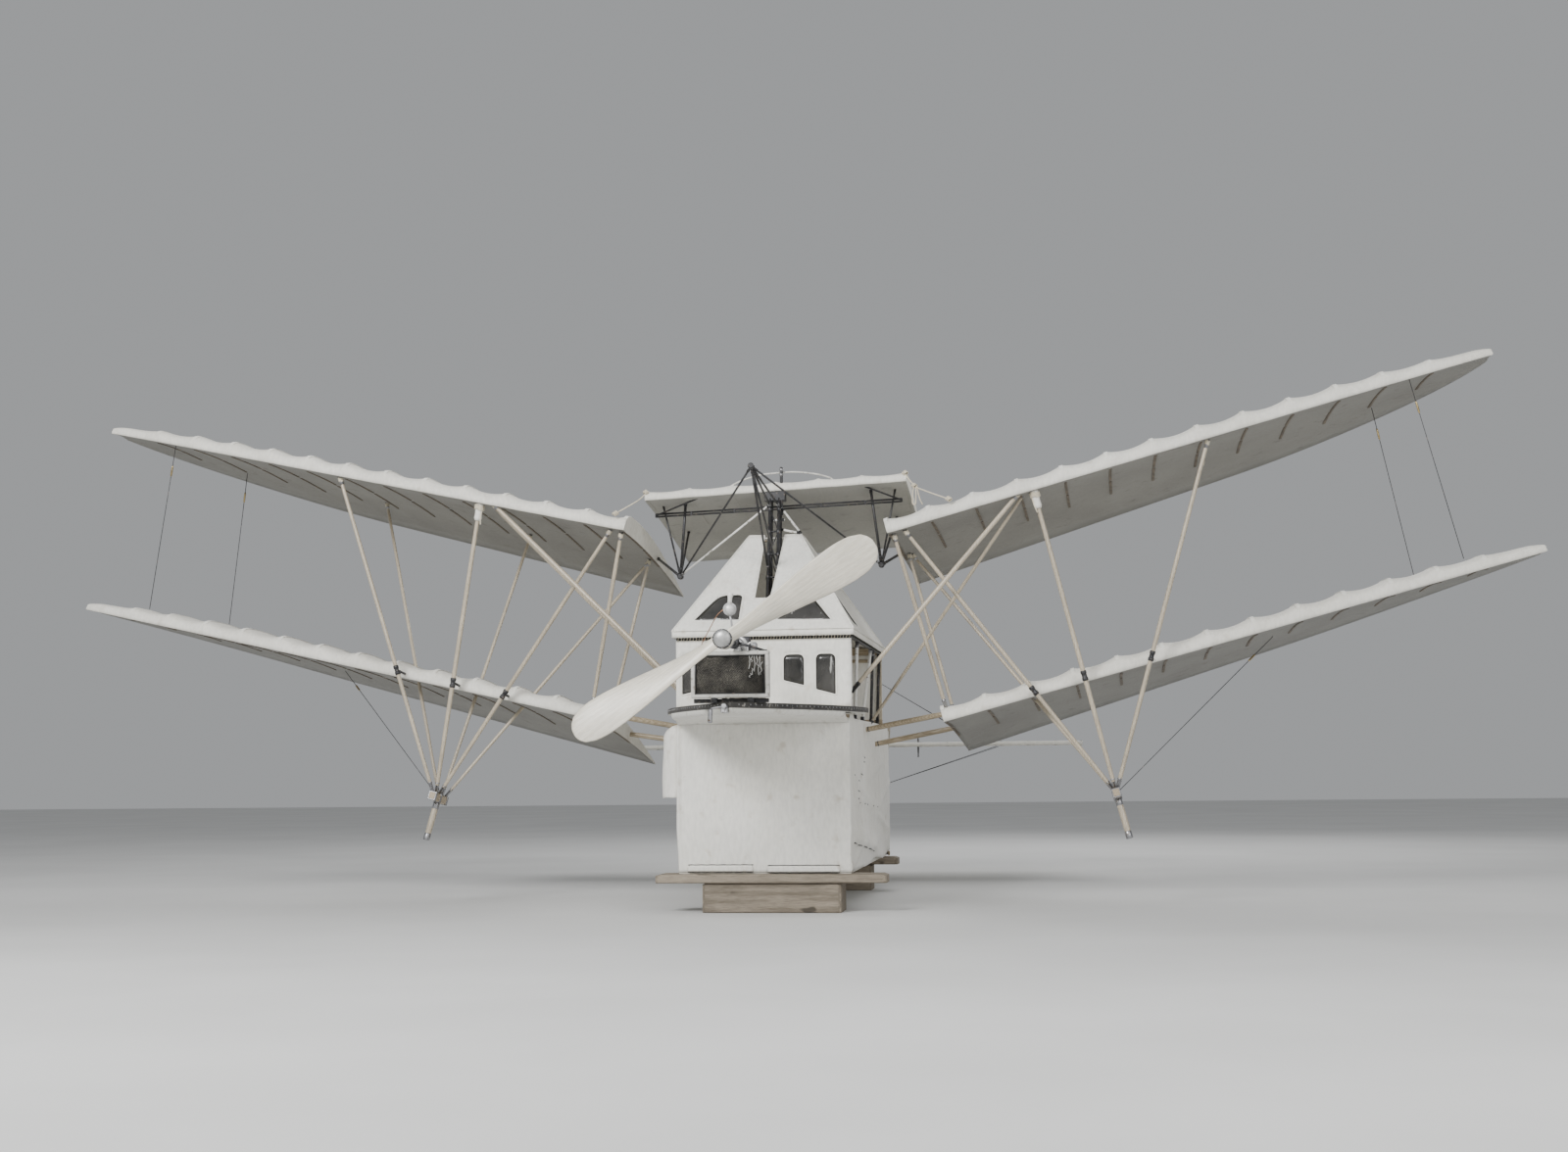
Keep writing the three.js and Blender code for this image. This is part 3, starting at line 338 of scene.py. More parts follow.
def frames_along(path):
    """A pair of cross directions at each point, carried along the path without twist."""
    path = [Vector(p) for p in path]
    tangents = []
    for i in range(len(path)):
        step = path[min(i + 1, len(path) - 1)] - path[max(i - 1, 0)]
        tangents.append(step.normalized())
    side = cross_pair(tangents[0])[0]
    pairs = []
    for tangent in tangents:
        side = (side - tangent * side.dot(tangent)).normalized()
        pairs.append((side, tangent.cross(side)))
    return pairs


def circle(at, a, b, radius, sides):
    turns = [2 * math.pi * k / sides for k in range(sides)]
    return [at + a * (radius * math.cos(turn)) + b * (radius * math.sin(turn)) for turn in turns]


def add_round(shape, rings, look):
    """Smooth skin over the rings, with a flat face at each end."""
    start, sides = len(shape.points), len(rings[0])
    shape.add([p for ring in rings for p in ring], grid_faces(len(rings), sides, closed=True), look)
    last = start + (len(rings) - 1) * sides
    shape.add_face([start + k for k in range(sides - 1, -1, -1)], look, True)
    shape.add_face([last + k for k in range(sides)], look, True)


def tube(shape, path, radius, look, sides=12):
    """Round tube along a path, with one radius or one for each point."""
    path = [Vector(p) for p in path]
    radii = radius if isinstance(radius, (list, tuple)) else [radius] * len(path)
    add_round(
        shape, [circle(at, a, b, r, sides) for at, (a, b), r in zip(path, frames_along(path), radii)], look,
    )


def turned(shape, at, axis, profile, look, sides=24):
    """Round body from rows of distance along the axis and radius."""
    at, axis = Vector(at), Vector(axis).normalized()
    a, b = cross_pair(axis)
    add_round(shape, [circle(at + axis * t, a, b, r, sides) for t, r in profile], look)


def block(shape, low, high, look, edge=0.004, place=None):
    """Block with chamfered edges, in a frame of its own where `place` maps its points."""
    low, high = Vector(low), Vector(high)
    edge = min(edge, 0.45 * min(high - low))
    middle, half = (low + high) / 2, (high - low) / 2
    points, index = [], {}
    signs = [(sx, sy, sz) for sx in (-1, 1) for sy in (-1, 1) for sz in (-1, 1)]
    for corner in signs:
        for axis in range(3):
            at = [corner[k] * (half[k] - (0 if k == axis else edge)) for k in range(3)]
            index[corner, axis] = len(points)
            points.append(middle + Vector(at))

    def corner_of(axis, value, u, su, v, sv):
        corner = [0, 0, 0]
        corner[axis], corner[u], corner[v] = value, su, sv
        return tuple(corner)

    faces = []
    for axis in range(3):
        u, v = [k for k in range(3) if k != axis]
        for sign in (-1, 1):
            corners = [corner_of(axis, sign, u, su, v, sv) for su, sv in ((-1, -1), (1, -1), (1, 1), (-1, 1))]
            faces.append([index[corner, axis] for corner in corners])
        for su in (-1, 1):
            for sv in (-1, 1):
                near, far = (corner_of(axis, sign, u, su, v, sv) for sign in (-1, 1))
                faces.append([index[near, u], index[far, u], index[far, v], index[near, v]])
    faces += [[index[corner, k] for k in range(3)] for corner in signs]
    if place:
        points = [place(*p) for p in points]
    middle = sum(points, Vector()) / len(points)
    shape.add(points, [outward(points, face, middle) for face in faces], look, flat=True)


def outward(points, face, middle):
    a, b, c = (points[i] for i in face[:3])
    away = sum((points[i] for i in face), Vector()) / len(face) - middle
    return face if (b - a).cross(c - b).dot(away) > 0 else face[::-1]


def smooth_path(points, steps=8):
    """Catmull-Rom curve through the points."""
    points = [Vector(p) for p in points]
    padded = [2 * points[0] - points[1], *points, 2 * points[-1] - points[-2]]
    path = []
    for i in range(1, len(padded) - 2):
        p0, p1, p2, p3 = padded[i - 1:i + 3]
        for k in range(steps):
            t = k / steps
            path.append(0.5 * (
                2 * p1 + (p2 - p0) * t + (2 * p0 - 5 * p1 + 4 * p2 - p3) * t * t
                + (3 * p1 - p0 - 3 * p2 + p3) * t ** 3
            ))
    return path + [points[-1]]


def curve_value(rows, share, column):
    """Smooth interpolation in a table whose first column is the share."""
    at = [row[0] for row in rows]
    values = [row[column] for row in rows]
    i = max(0, min(len(at) - 2, int(np.searchsorted(at, share, "right")) - 1))
    width = at[i + 1] - at[i]
    t = (share - at[i]) / width

    def slope(k):
        before, after = max(0, k - 1), min(len(at) - 1, k + 1)
        return (values[after] - values[before]) / (at[after] - at[before])

    h = t * t * (3 - 2 * t)
    return (
        values[i] * (1 - h) + values[i + 1] * h
        + width * (slope(i) * t * (1 - t) ** 2 - slope(i + 1) * t * t * (1 - t))
    )


# Wing cells: the same measures as in the part's source, in metres. A cell is an upper and a lower wing

SIDES = {
    "right": {
        "sign": 1, "root": (1.460, 0.277, 1.669), "dihedral": 0.261, "sweep": -0.013, "incidence": 0.108,
    },
    "left": {
        "sign": -1, "root": (1.730, 0.359, 1.782), "dihedral": 0.217, "sweep": 0.079, "incidence": 0.184,
    },
}
RIB_PITCH, RIB_BAYS, RIB_CREST = 0.402, 13, 0.034
WING_GAP, CHORD, STAGGER, WASHOUT = 1.657, 2.350, 0.536, 0.107
FRONT_SPAR, REAR_SPAR = 0.075, 1.230
# Where the fan of struts meets below the lower wing
APEX = {"span": 1.270, "chord": 0.642, "normal": -1.002}
STRUT_PITCH, MOUNT_POST = 0.048, 0.402
# Rib stations where the tip's curve starts and where it ends
TIP_START, TIP_RIB = 8, 13.3
UPPER, LOWER = 1, 2
AIRFOIL = (
    # share of chord, then the heights in columns UPPER and LOWER
    (0, 0.078, -0.004), (0.008, 0.116, -0.008), (0.03, 0.146, -0.008), (0.1, 0.166, 0.004),
    (0.22, 0.178, 0.020), (0.38, 0.174, 0.030), (0.56, 0.142, 0.031), (0.78, 0.082, 0.021), (1, 0.007, 0),
)
CENTRE_WING = {
    "half": 1.190, "y": 0.755, "z": 3.705, "chord": 2.090, "incidence": 0.172, "roll": 0.044, "depth": 0.66,
}
BODY = "airframe"


def cell_point(side, span, chord, normal):
    s = SIDES[side]
    p = Matrix.Rotation(-s["incidence"], 3, "X") @ Vector((span, chord, normal))
    p = Matrix.Rotation(s["sweep"], 3, "Z") @ (Matrix.Rotation(-s["dihedral"], 3, "Y") @ p)
    return Vector((s["sign"] * (p.x + s["root"][0]), p.y + s["root"][1], p.z + s["root"][2]))


def wing_point(side, level, rib, along, height):
    twist = WASHOUT * rib / RIB_BAYS
    front, base = (0, WING_GAP) if level == "upper" else (STAGGER, 0)
    return cell_point(
        side, rib * RIB_PITCH, front + along * math.cos(twist) - height * math.sin(twist),
        base + height * math.cos(twist) + along * math.sin(twist),
    )


def centre_point(x, chord, height):
    c = CENTRE_WING
    fall, flat = math.sin(c["incidence"]), math.cos(c["incidence"])
    return Vector((
        x, c["y"] + chord * flat + height * fall,
        c["z"] + x * math.sin(c["roll"]) - chord * fall + height * flat,
    ))


def foil(share, column):
    return curve_value([(math.sqrt(u), high, low) for u, high, low in AIRFOIL], math.sqrt(share), column)


def linear_foil(share, column):
    return float(np.interp(share, [row[0] for row in AIRFOIL], [row[column] for row in AIRFOIL]))


def on_wing(side, level, rib, along, depth):
    """Point inside a wing, at a depth from 0 on its lower skin to 1 on its upper one."""
    low, high = linear_foil(along / CHORD, LOWER), linear_foil(along / CHORD, UPPER)
    return wing_point(side, level, rib, along, low + depth * (high - low))


def tip_share(rib):
    """Share of the full chord that is left at a rib station near the rounded tip."""
    t = max(0.0, (rib - TIP_START) / (TIP_RIB - TIP_START + 0.04))
    return math.sqrt(1 - t * t)


def thinned(share):
    """How thick the wing still is where its chord is this share of the full one."""
    return 0.25 + 0.75 * share


# How far the leading edge runs back at the tip, as a share of the chord
TIP_SWEEP = 0.05
CHORD_STEPS = 17
SHARES = [(k / (CHORD_STEPS - 1)) ** 2 for k in range(CHORD_STEPS)]


def section(chord, share, sag):
    """Rows of distance along the chord and height, round the nose from the upper trailing edge."""
    thin = thinned(share)
    along = [u * chord * share + 0.5 * sag * (1 - u) ** 8 for u in SHARES]
    upper = [(x, (foil(u, UPPER) - sag * (1 - u ** 6)) * thin) for x, u in zip(along, SHARES)]
    lower = [
        (x, (foil(u, LOWER) + 0.35 * sag * (u * (1 - u) * 4) ** 0.5) * thin) for x, u in zip(along, SHARES)
    ]
    return upper[::-1] + [(upper[0][0] - 0.005, (upper[0][1] + lower[0][1]) / 2)] + lower


def skin(shape, stations, ring, look, below):
    """Wing skin with both end ribs closed and another look behind the nose underneath, which for the wings is
    a darker copy of the linen: painted shade.
    """
    rings = [ring(rib) for rib in stations]
    count = len(rings[0])
    shape.add([p for points in rings for p in points], grid_faces(len(rings), count, closed=True), look)
    faces = (len(rings) - 1) * count
    for i in range(faces):
        if i % count > count // 2 + 1:
            shape.looks[len(shape.looks) - faces + i] = below
    start = len(shape.points) - len(rings) * count
    middle = count // 2
    for base, flip in ((start, False), (start + (len(rings) - 1) * count, True)):
        for k in range(middle):
            face = [base + k, base + k + 1, base + count - 2 - k, base + count - 1 - k]
            if len(set(face)) == 4:
                shape.add_face(face if flip else face[::-1], look, True)


def batten(shape, place, shares, width, proud, look, below=True):
    """Thin strip along one rib, laid on the skin."""
    sign, half = -1 if below else 1, width / 2
    corners = ((-half, 0.002 * -sign), (half, 0.002 * -sign), (half, proud * sign), (-half, proud * sign))
    points = [place(off, u, lift) for u in shares for off, lift in corners]
    shape.add(points, ringed_faces(len(shares), 4), look, True)


def add_wing(side, level):
    shape = Shape()
    steps = 8
    stations = [k / steps for k in range(RIB_BAYS * steps + 1)]
    stations += [TIP_RIB - gap for gap in (0.22, 0.14, 0.07, 0.02, 0)]

    def ring(rib):
        share = tip_share(rib)
        t = rib % 1
        sag = RIB_CREST * share * 4 * t * (1 - t) if rib < RIB_BAYS else 0
        front = TIP_SWEEP * CHORD * (1 - share)
        return [wing_point(side, level, rib, front + x, z) for x, z in section(CHORD, share, sag)]

    # The underside takes a darker copy of the linen: painted shade.
    skin(shape, stations, ring, LINEN, SHADED_LINEN_UNDERSIDE)

    def on_rib(rib, column):
        share = tip_share(rib)
        front = TIP_SWEEP * CHORD * (1 - share)
        thin = thinned(share)
        return lambda off, u, lift: wing_point(
            side, level, rib + off / RIB_PITCH, front + u * CHORD * share, foil(u, column) * thin + lift,
        )

    for rib in range(RIB_BAYS):
        near = max(0.04, min(rib, RIB_BAYS - 0.3))
        for first, last in ((0.035, 0.30), (0.325, 0.57)):
            shares = [first + (last - first) * k / 7 for k in range(8)]
            batten(shape, on_rib(near, LOWER), shares, 0.022, 0.006, DARK_BATTEN)
        shares = [0.004 + 0.99 * (k / 15) ** 1.6 for k in range(16)]
        batten(shape, on_rib(near, UPPER), shares, 0.034, 0.0016, WHITE_CANVAS, below=False)
    shape.place(f"{level}_wing_cloth_{side}", BODY, "doped_fabric", [f"{level}_wing_{side}"])


for side in SIDES:
    for level in ("upper", "lower"):
        add_wing(side, level)


def add_centre_wing():
    shape = Shape()
    bays, half, chord, depth = 6, CENTRE_WING["half"], CENTRE_WING["chord"], CENTRE_WING["depth"]

    def ring(station):
        t = (station / 2) % 1
        sag = RIB_CREST * 0.6 * 4 * t * (1 - t)
        return [centre_point(station / bays * half, x, depth * z) for x, z in section(chord, 1, sag)]

    # The underside takes a darker copy of the linen: painted shade.
    skin(shape, [k / 4 - bays for k in range(8 * bays + 1)], ring, LINEN, SHADED_CENTRE_UNDERSIDE)
    for station in range(-bays, bays + 1, 2):
        x = station / bays * (half - 0.012)
        # The lower battens take the same darker look: painted shade.
        for column, last, proud, look in (
            (LOWER, 0.58, 0.0022, SHADED_CENTRE_UNDERSIDE), (UPPER, 0.99, 0.0016, WHITE_CANVAS),
        ):
            shares = [0.02 + (last - 0.02) * (k / 11) ** 1.4 for k in range(12)]
            batten(
                shape, lambda off, u, lift: centre_point(x + off, u * chord, depth * foil(u, column) + lift),
                shares, 0.026, proud, look, column == LOWER,
            )
    shape.place("centre_wing_cloth", BODY, "doped_fabric", ["centre_wing"])


# Struts, float mounts and their fittings

KEEL_ORDER = {
    "front_strut_a": -2.5, "front_strut_b": -1.5, "front_strut_c": -0.5,
    "rear_strut_a": 0.5, "rear_strut_b": 1.5, "rear_strut_c": 2.5,
}
# Rib station of the middle front strut, which the two stays start beside
MIDDLE_RIB = {"left": 3.6, "right": 3.3}
TO_KEEL = (
    # name, rib station on the upper wing, distance behind its leading edge, radius
    ("front_strut_a", 7.25, FRONT_SPAR, 0.019), ("front_strut_b", None, FRONT_SPAR, 0.021),
    ("front_strut_c", 0.3, FRONT_SPAR, 0.019), ("rear_strut_a", 7.25, REAR_SPAR, 0.016),
    ("rear_strut_b", 3.3, REAR_SPAR, 0.016), ("rear_strut_c", 0.16, REAR_SPAR, 0.016),
)
# Half the hull's width, and the height of its deck
HULL_HALF, DECK = 0.734, 1.635
# How deep in a wing the struts end, as a share from its lower skin to its upper one
STRUT_DEPTH = 0.45
# How far back the foot and the top of each cabin post are
SIDE_POSTS = ((0.080, 0.080), (0.420, 0.110), (0.700, 0.700), (1.320, 1.900), (2.080, 2.080), (2.700, 2.700))
CABIN_TOP, POST_TOP_X, DECK_TOP = 2.360, 0.738, 1.7253


def side_post(sign, foot, top):
    """Foot and top of a cabin side post, from how far back each of them is."""
    low = Vector((sign * (HULL_HALF - 0.024), foot, DECK))
    return low, Vector((sign * POST_TOP_X, top, CABIN_TOP - 0.020))


def keel_point(side, order):
    return cell_point(side, APEX["span"], APEX["chord"] + order * STRUT_PITCH, APEX["normal"])


def cell_struts(side):
    """Strut name to its upper end, lower end and radius."""
    s = SIDES[side]["sign"]
    middle = MIDDLE_RIB[side]
    struts = {
        name: (
            on_wing(side, "upper", rib or middle, along, STRUT_DEPTH), keel_point(side, KEEL_ORDER[name]),
            radius,
        )
        for name, rib, along, radius in TO_KEEL
    }
    struts["front_root"] = (
        on_wing(side, "upper", 0.12, FRONT_SPAR, STRUT_DEPTH),
        on_wing(side, "lower", 0.12, FRONT_SPAR, STRUT_DEPTH), 0.019,
    )
    struts["rear_root"] = (
        on_wing(side, "upper", 0.16, REAR_SPAR - 0.090, STRUT_DEPTH),
        on_wing(side, "lower", 0.16, REAR_SPAR - 0.520, STRUT_DEPTH), 0.016,
    )
    post = side_post(s, *SIDE_POSTS[1])
    struts["front_stay"] = (
        on_wing(side, "upper", middle - 0.16, FRONT_SPAR, STRUT_DEPTH), post[0].lerp(post[1], 0.32), 0.021,
    )
    struts["rear_stay"] = (
        on_wing(side, "upper", middle - 0.06, FRONT_SPAR + 0.066, STRUT_DEPTH),
        Vector((s * (HULL_HALF - 0.030), 1.750, 1.570)), 0.016,
    )
    struts["front_stub"] = (
        on_wing(side, "lower", 0.25, 0.190, 0.5), Vector((s * (HULL_HALF - 0.060), 1.345, 1.545)), 0.026,
    )
    struts["rear_stub"] = (
        on_wing(side, "lower", 0.25, 1.250, 0.5), Vector((s * (HULL_HALF - 0.060), 2.120, 1.420)), 0.026,
    )
    return struts


SWELL = ((0, 0.80), (0.05, 0.86), (0.2, 0.96), (0.5, 1.0), (0.8, 0.96), (0.95, 0.86), (1, 0.80))


def strut(shape, start, end, radius, look):
    """Round strut, slimmer towards both ends."""
    tube(shape, [start.lerp(end, t) for t, _ in SWELL], [radius * r for _, r in SWELL], look, 16)


def socket(shape, end, towards, radius, look, reach):
    """Sleeve with a band round it, from the end of a bar towards a point."""
    profile = (
        (0, 0.55), (0.004, 0.98), (0.75 * reach, 0.98), (0.76 * reach, 1.12), (0.82 * reach, 1.12),
        (0.83 * reach, 0.98), (reach, 0.90),
    )
    turned(shape, end, towards - end, [(t, radius * r) for t, r in profile], look, 16)


def lashing(shape, at, axis, radius, turns, look, cord=0.005):
    """Turns of cord wound side by side round a strut."""
    axis = axis.normalized()
    a, b = cross_pair(axis)
    path, steps = [], 14
    for k in range(turns * steps + 1):
        angle = 2 * math.pi * k / steps
        out = a * math.cos(angle) + b * math.sin(angle)
        path.append(at + axis * (1.9 * cord * k / steps) + out * (radius + 0.6 * cord))
    tube(shape, path, cord, look, 6)


STRUT_PIECES = (
    # piece, CAD nodes
    ("front_struts", tuple(KEEL_ORDER)[:3]), ("rear_struts", tuple(KEEL_ORDER)[3:]),
    ("root_struts", ("front_root", "rear_root")),
    ("stays", ("front_stay", "rear_stay")),
    ("stub_bars", ("front_stub", "rear_stub")),
)
FEET = {
    # kind: share of the strut's radius, look and length of the socket at its lower end
    "strut": (0.86, STEEL, 0.15), "stub": (0.88, BLACK, 0.13), "root": (0.92, STEEL, 0.16),
    "stay": (0.92, BLACK, 0.12),
}


def add_cell(side):
    struts = cell_struts(side)
    for piece, names in STRUT_PIECES:
        shape = Shape()
        for name in names:
            start, end, radius = struts[name]
            strut(shape, start, end, radius, SPRUCE if "stub" not in name else SPRUCE_X)
            axis = (end - start).normalized()
            if "stub" not in name:
                leave = 0.085 if "front" in name else 0.06
                lashing(shape, start + axis * leave, axis, radius * 0.84, 4, ROPE)
                socket(shape, start + axis * 0.02, end, radius * 0.95, STEEL, leave + 0.05)
            share, look, reach = next(row for kind, row in FEET.items() if kind in name)
            socket(shape, end, start, radius * share, look, reach)
        shape.place(f"{piece}_{side}", BODY, "spruce", [f"{name}_{side}" for name in names])
    add_float_mount(side)
    add_clamps(side, struts)
    add_bracing(side)


def add_float_mount(side):
    """Plank under the fan's point, with its straps, and the post that would carry a float."""
    shape = Shape()
    half = 3.4 * STRUT_PITCH

    def place(x, y, z):
        return cell_point(side, APEX["span"] + x, APEX["chord"] + y, APEX["normal"] + z)

    block(shape, (-0.034, -half, -0.044), (0.034, half, 0.030), SPRUCE_Y, 0.010, place)
    for y in (-half + 0.02, half - 0.02, -0.02):
        block(shape, (-0.038, y - 0.016, -0.048), (0.038, y + 0.016, 0.034), STEEL, 0.004, place)
    head, foot = place(0, 0, -0.030), place(0, 0, -MOUNT_POST)
    axis = (foot - head).normalized()
    strut(shape, head, foot - axis * 0.03, 0.029, SPRUCE)
    turned(shape, head, axis, ((0, 0.030), (0.075, 0.030), (0.08, 0.026)), STEEL, 16)
    turned(shape, foot, -axis, ((0, 0.028), (0.003, 0.030), (0.06, 0.030), (0.065, 0.026)), STEEL, 20)
    shape.place(f"float_post_{side}", BODY, "spruce", [f"float_mount_{side}"])


CLAMPED = (("front_strut_a", 7.25), ("front_strut_b", None), ("front_strut_c", 0.3))
COLLAR = (
    # distance along the strut, how far it stands proud
    (0, 0.0), (0.002, 0.006), (0.028, 0.006), (0.030, 0.002), (0.060, 0.002), (0.062, 0.006), (0.088, 0.006),
    (0.090, 0.0),
)


def add_clamps(side, struts):
    """Collars that tie the front struts to the lower wing's leading edge."""
    shape = Shape()
    level = WING_GAP / (WING_GAP - APEX["normal"])
    for name, rib in CLAMPED:
        start, end, radius = struts[name]
        crossing = start.lerp(end, level)
        span = (rib or MIDDLE_RIB[side]) * RIB_PITCH
        inside = on_wing(side, "lower", (span + (APEX["span"] - span) * level) / RIB_PITCH, 0.060, 0.3)
        axis = (end - start).normalized()
        turned(shape, crossing - axis * 0.045, axis, [(t, radius + r) for t, r in COLLAR], BLACK, 18)
        tube(shape, [crossing, crossing.lerp(inside, 0.6), inside], 0.012, BLACK, 10)
    shape.place(f"strut_collars_{side}", BODY, "dark_steel")


WIRE = 0.0032
TURNBUCKLE = ((0, 0.003), (0.01, 0.008), (0.03, 0.009), (0.08, 0.009), (0.10, 0.008), (0.11, 0.003))


def add_bracing(side):
    """Wires near the tip from wing to wing and one down to the fan's point, each with a turnbuckle."""
    shape = Shape()
    for start, end in (
        (on_wing(side, "upper", 11.5, FRONT_SPAR, 0.02), on_wing(side, "lower", 11.6, FRONT_SPAR, 0.9)),
        (on_wing(side, "upper", 11.1, REAR_SPAR, 0.02), on_wing(side, "lower", 11.0, REAR_SPAR, 0.9)),
        (on_wing(side, "lower", 7.6, REAR_SPAR, 0.02), keel_point(side, 0)),
    ):
        tube(shape, [start, end], WIRE, BLACK, 6)
        turned(shape, start.lerp(end, 0.12), end - start, TURNBUCKLE, BRASS, 10)
    shape.place(f"bracing_wires_{side}", BODY, "dark_steel")


# Pylon, kingpost, trusses and spreader bars

PYLON_LEGS = (
    # foot x, foot y, top x, top y
    (-0.048, 0.330, -0.040, 0.790), (0.048, 0.330, 0.040, 0.790),
    (-0.048, 0.700, -0.040, 0.860), (0.048, 0.700, 0.040, 0.860),
)
PYLON_FOOT, PYLON_TOP, PYLON_RUNGS = 1.645, 3.640, 9
KING_APEX = Vector((0, -0.530, 3.729))
TRUSS_CORNER = {"right": Vector((0.926, 1.100, 3.040)), "left": Vector((-0.930, 1.100, 2.977))}


def leg_point(leg, share):
    return Vector((
        leg[0] + (leg[2] - leg[0]) * share, leg[1] + (leg[3] - leg[1]) * share,
        PYLON_FOOT + (PYLON_TOP - PYLON_FOOT) * share,
    ))


def add_pylon():
    shape = Shape()
    left, right = PYLON_LEGS[:2]
    for leg in PYLON_LEGS:
        tube(shape, [leg_point(leg, 0), leg_point(leg, 1)], 0.0148, BLACK, 14)
    for i in range(1, PYLON_RUNGS + 1):
        share, following = i / (PYLON_RUNGS + 0.5), (i + 1) / (PYLON_RUNGS + 0.5)
        tube(shape, [leg_point(left, share), leg_point(right, share)], 0.0078, BLACK, 10)
        for leg in (left, right):
            at = leg_point(leg, share)
            axis = (leg_point(leg, 1) - leg_point(leg, 0)).normalized()
            turned(
                shape, at - axis * 0.022, axis,
                ((0, 0.0148), (0.002, 0.0185), (0.042, 0.0185), (0.044, 0.0148)), BLACK, 14,
            )
        if i < PYLON_RUNGS:
            pair = (left, right) if i % 2 else (right, left)
            tube(shape, [leg_point(pair[0], share), leg_point(pair[1], following)], 0.0058, BLACK, 8)
    for y0, y1 in ((0.305, 0.355), (0.680, 0.725)):
        block(shape, (-0.080, y0, DECK), (0.080, y1, DECK + 0.040), BLACK, 0.004)
    block(shape, (-0.095, 0.775, PYLON_TOP - 0.030), (0.095, 0.875, PYLON_TOP + 0.066), BLACK, 0.006)
    turned(shape, (0.060, 0.800, 3.480), UP, (
        (0, 0.010), (0.006, 0.014), (0.415, 0.014), (0.420, 0.0135), (0.436, 0.0135), (0.440, 0.009),
    ), BLACK, 14)
    for z in (3.53, 3.84, 3.885):
        turned(
            shape, (0.060, 0.800, z), UP,
            ((0, 0.0135), (0.002, 0.0175), (0.018, 0.0175), (0.020, 0.0135)), STEEL, 14,
        )
    shape.place("pylon_lattice", BODY, "dark_steel", ["pylon"])


def add_kingpost():
    shape = Shape()
    left, right = PYLON_LEGS[:2]
    rows = [(leg_point(leg, share), 0.0098) for share in (0.66, 0.96) for leg in (left, right)]
    rows += [(TRUSS_CORNER[side], 0.0088) for side in ("left", "right")]
    for end, radius in rows:
        stop = end + (KING_APEX - end).normalized() * 0.012
        tube(shape, [KING_APEX, stop], radius, BLACK, 12)
        socket(shape, stop, KING_APEX, radius * 1.25, STEEL, 0.07)
        socket(shape, KING_APEX, end, radius * 1.25, BLACK, 0.10)
    turned(shape, KING_APEX - Vector((0, 0.035, 0)), AFT, (
        (0, 0.018), (0.004, 0.025), (0.028, 0.025), (0.031, 0.021), (0.039, 0.021), (0.042, 0.025),
        (0.066, 0.025), (0.070, 0.018),
    ), BLACK, 20)
    shape.place("kingpost_frame", BODY, "dark_steel", ["kingpost"])


def truss_bars(side):
    s = SIDES[side]["sign"]
    corner = TRUSS_CORNER[side]
    return (
        (centre_point(s * 0.845, 0.190, 0.060), corner, 0.013),
        (centre_point(s * 1.010, 1.200, 0.070), corner, 0.011),
        (centre_point(s * 1.080, 0.240, 0.060), corner, 0.009),
        (corner, on_wing(side, "upper", 0.06, REAR_SPAR, 0.5), 0.013),
    )


def add_truss(side):
    shape = Shape()
    corner = TRUSS_CORNER[side]
    for start, end, radius in truss_bars(side):
        tube(shape, [start, end], radius * 0.98, BLACK, 14)
        far, near = (start, end) if end == corner else (end, start)
        socket(shape, near, far, radius * 1.2, BLACK, 0.09)
        socket(shape, far, near, radius * 1.15, BLACK, 0.10)
    turned(shape, corner - Vector((0, 0.034, 0)), AFT, (
        (0, 0.018), (0.004, 0.025), (0.026, 0.027), (0.042, 0.027), (0.064, 0.025), (0.068, 0.018),
    ), BLACK, 18)
    shape.place(f"truss_frame_{side}", BODY, "dark_steel", [f"truss_{side}"])


SPREADER = {"left": 3.520, "right": 3.580, "half": 1.130, "pitch": 0.042, "radius": 0.009, "seat": 0.020}


def add_spreaders():
    shape = Shape()
    seats = {}
    for side in SIDES:
        start, end, _ = truss_bars(side)[0]
        level = start.lerp(end, (start.z - SPREADER[side]) / (start.z - end.z))
        seats[side] = level - Vector((0, SPREADER["seat"], 0))
    left, right = seats["left"], seats["right"]
    ends = [left.lerp(right, (s * SPREADER["half"] - left.x) / (right.x - left.x)) for s in (-1, 1)]
    up = Vector((0, 0, SPREADER["pitch"]))
    for lift in (0.22, 0.78):
        tube(shape, [ends[0] + up * lift, ends[1] + up * lift], SPREADER["radius"] * 0.98, BLACK, 12)
    for end in ends:
        tube(shape, [end + up * 0.10, end + up * 0.90], 0.008, BLACK, 10)
    for end, x, chord in ((ends[0], -0.713, 0.080), (ends[1], 0.804, 0.089)):
        tube(shape, [centre_point(x, chord, 0.004), end + up * 0.5], 0.0080, BLACK, 10)
    for x in (-0.80, -0.40, 0.40, 0.80):
        at = ends[0].lerp(ends[1], (x + SPREADER["half"]) / (2 * SPREADER["half"]))
        corner = Vector((0.010, 0.010, 0))
        block(shape, at + up * 0.05 - corner, at + up * 0.95 + corner, BLACK, 0.003)
    shape.place("spreader_tubes", BODY, "dark_steel", ["spreader_bars"])


add_centre_wing()
for side in SIDES:
    add_cell(side)
    add_truss(side)
add_pylon()
add_kingpost()
add_spreaders()


# Cabin posts and rails

POST_PAINT = metal_look("post_paint", (0.84, 0.83, 0.79), (0.70, 0.69, 0.65), 0.5, 0.0, (0.30, 0.27, 0.23))


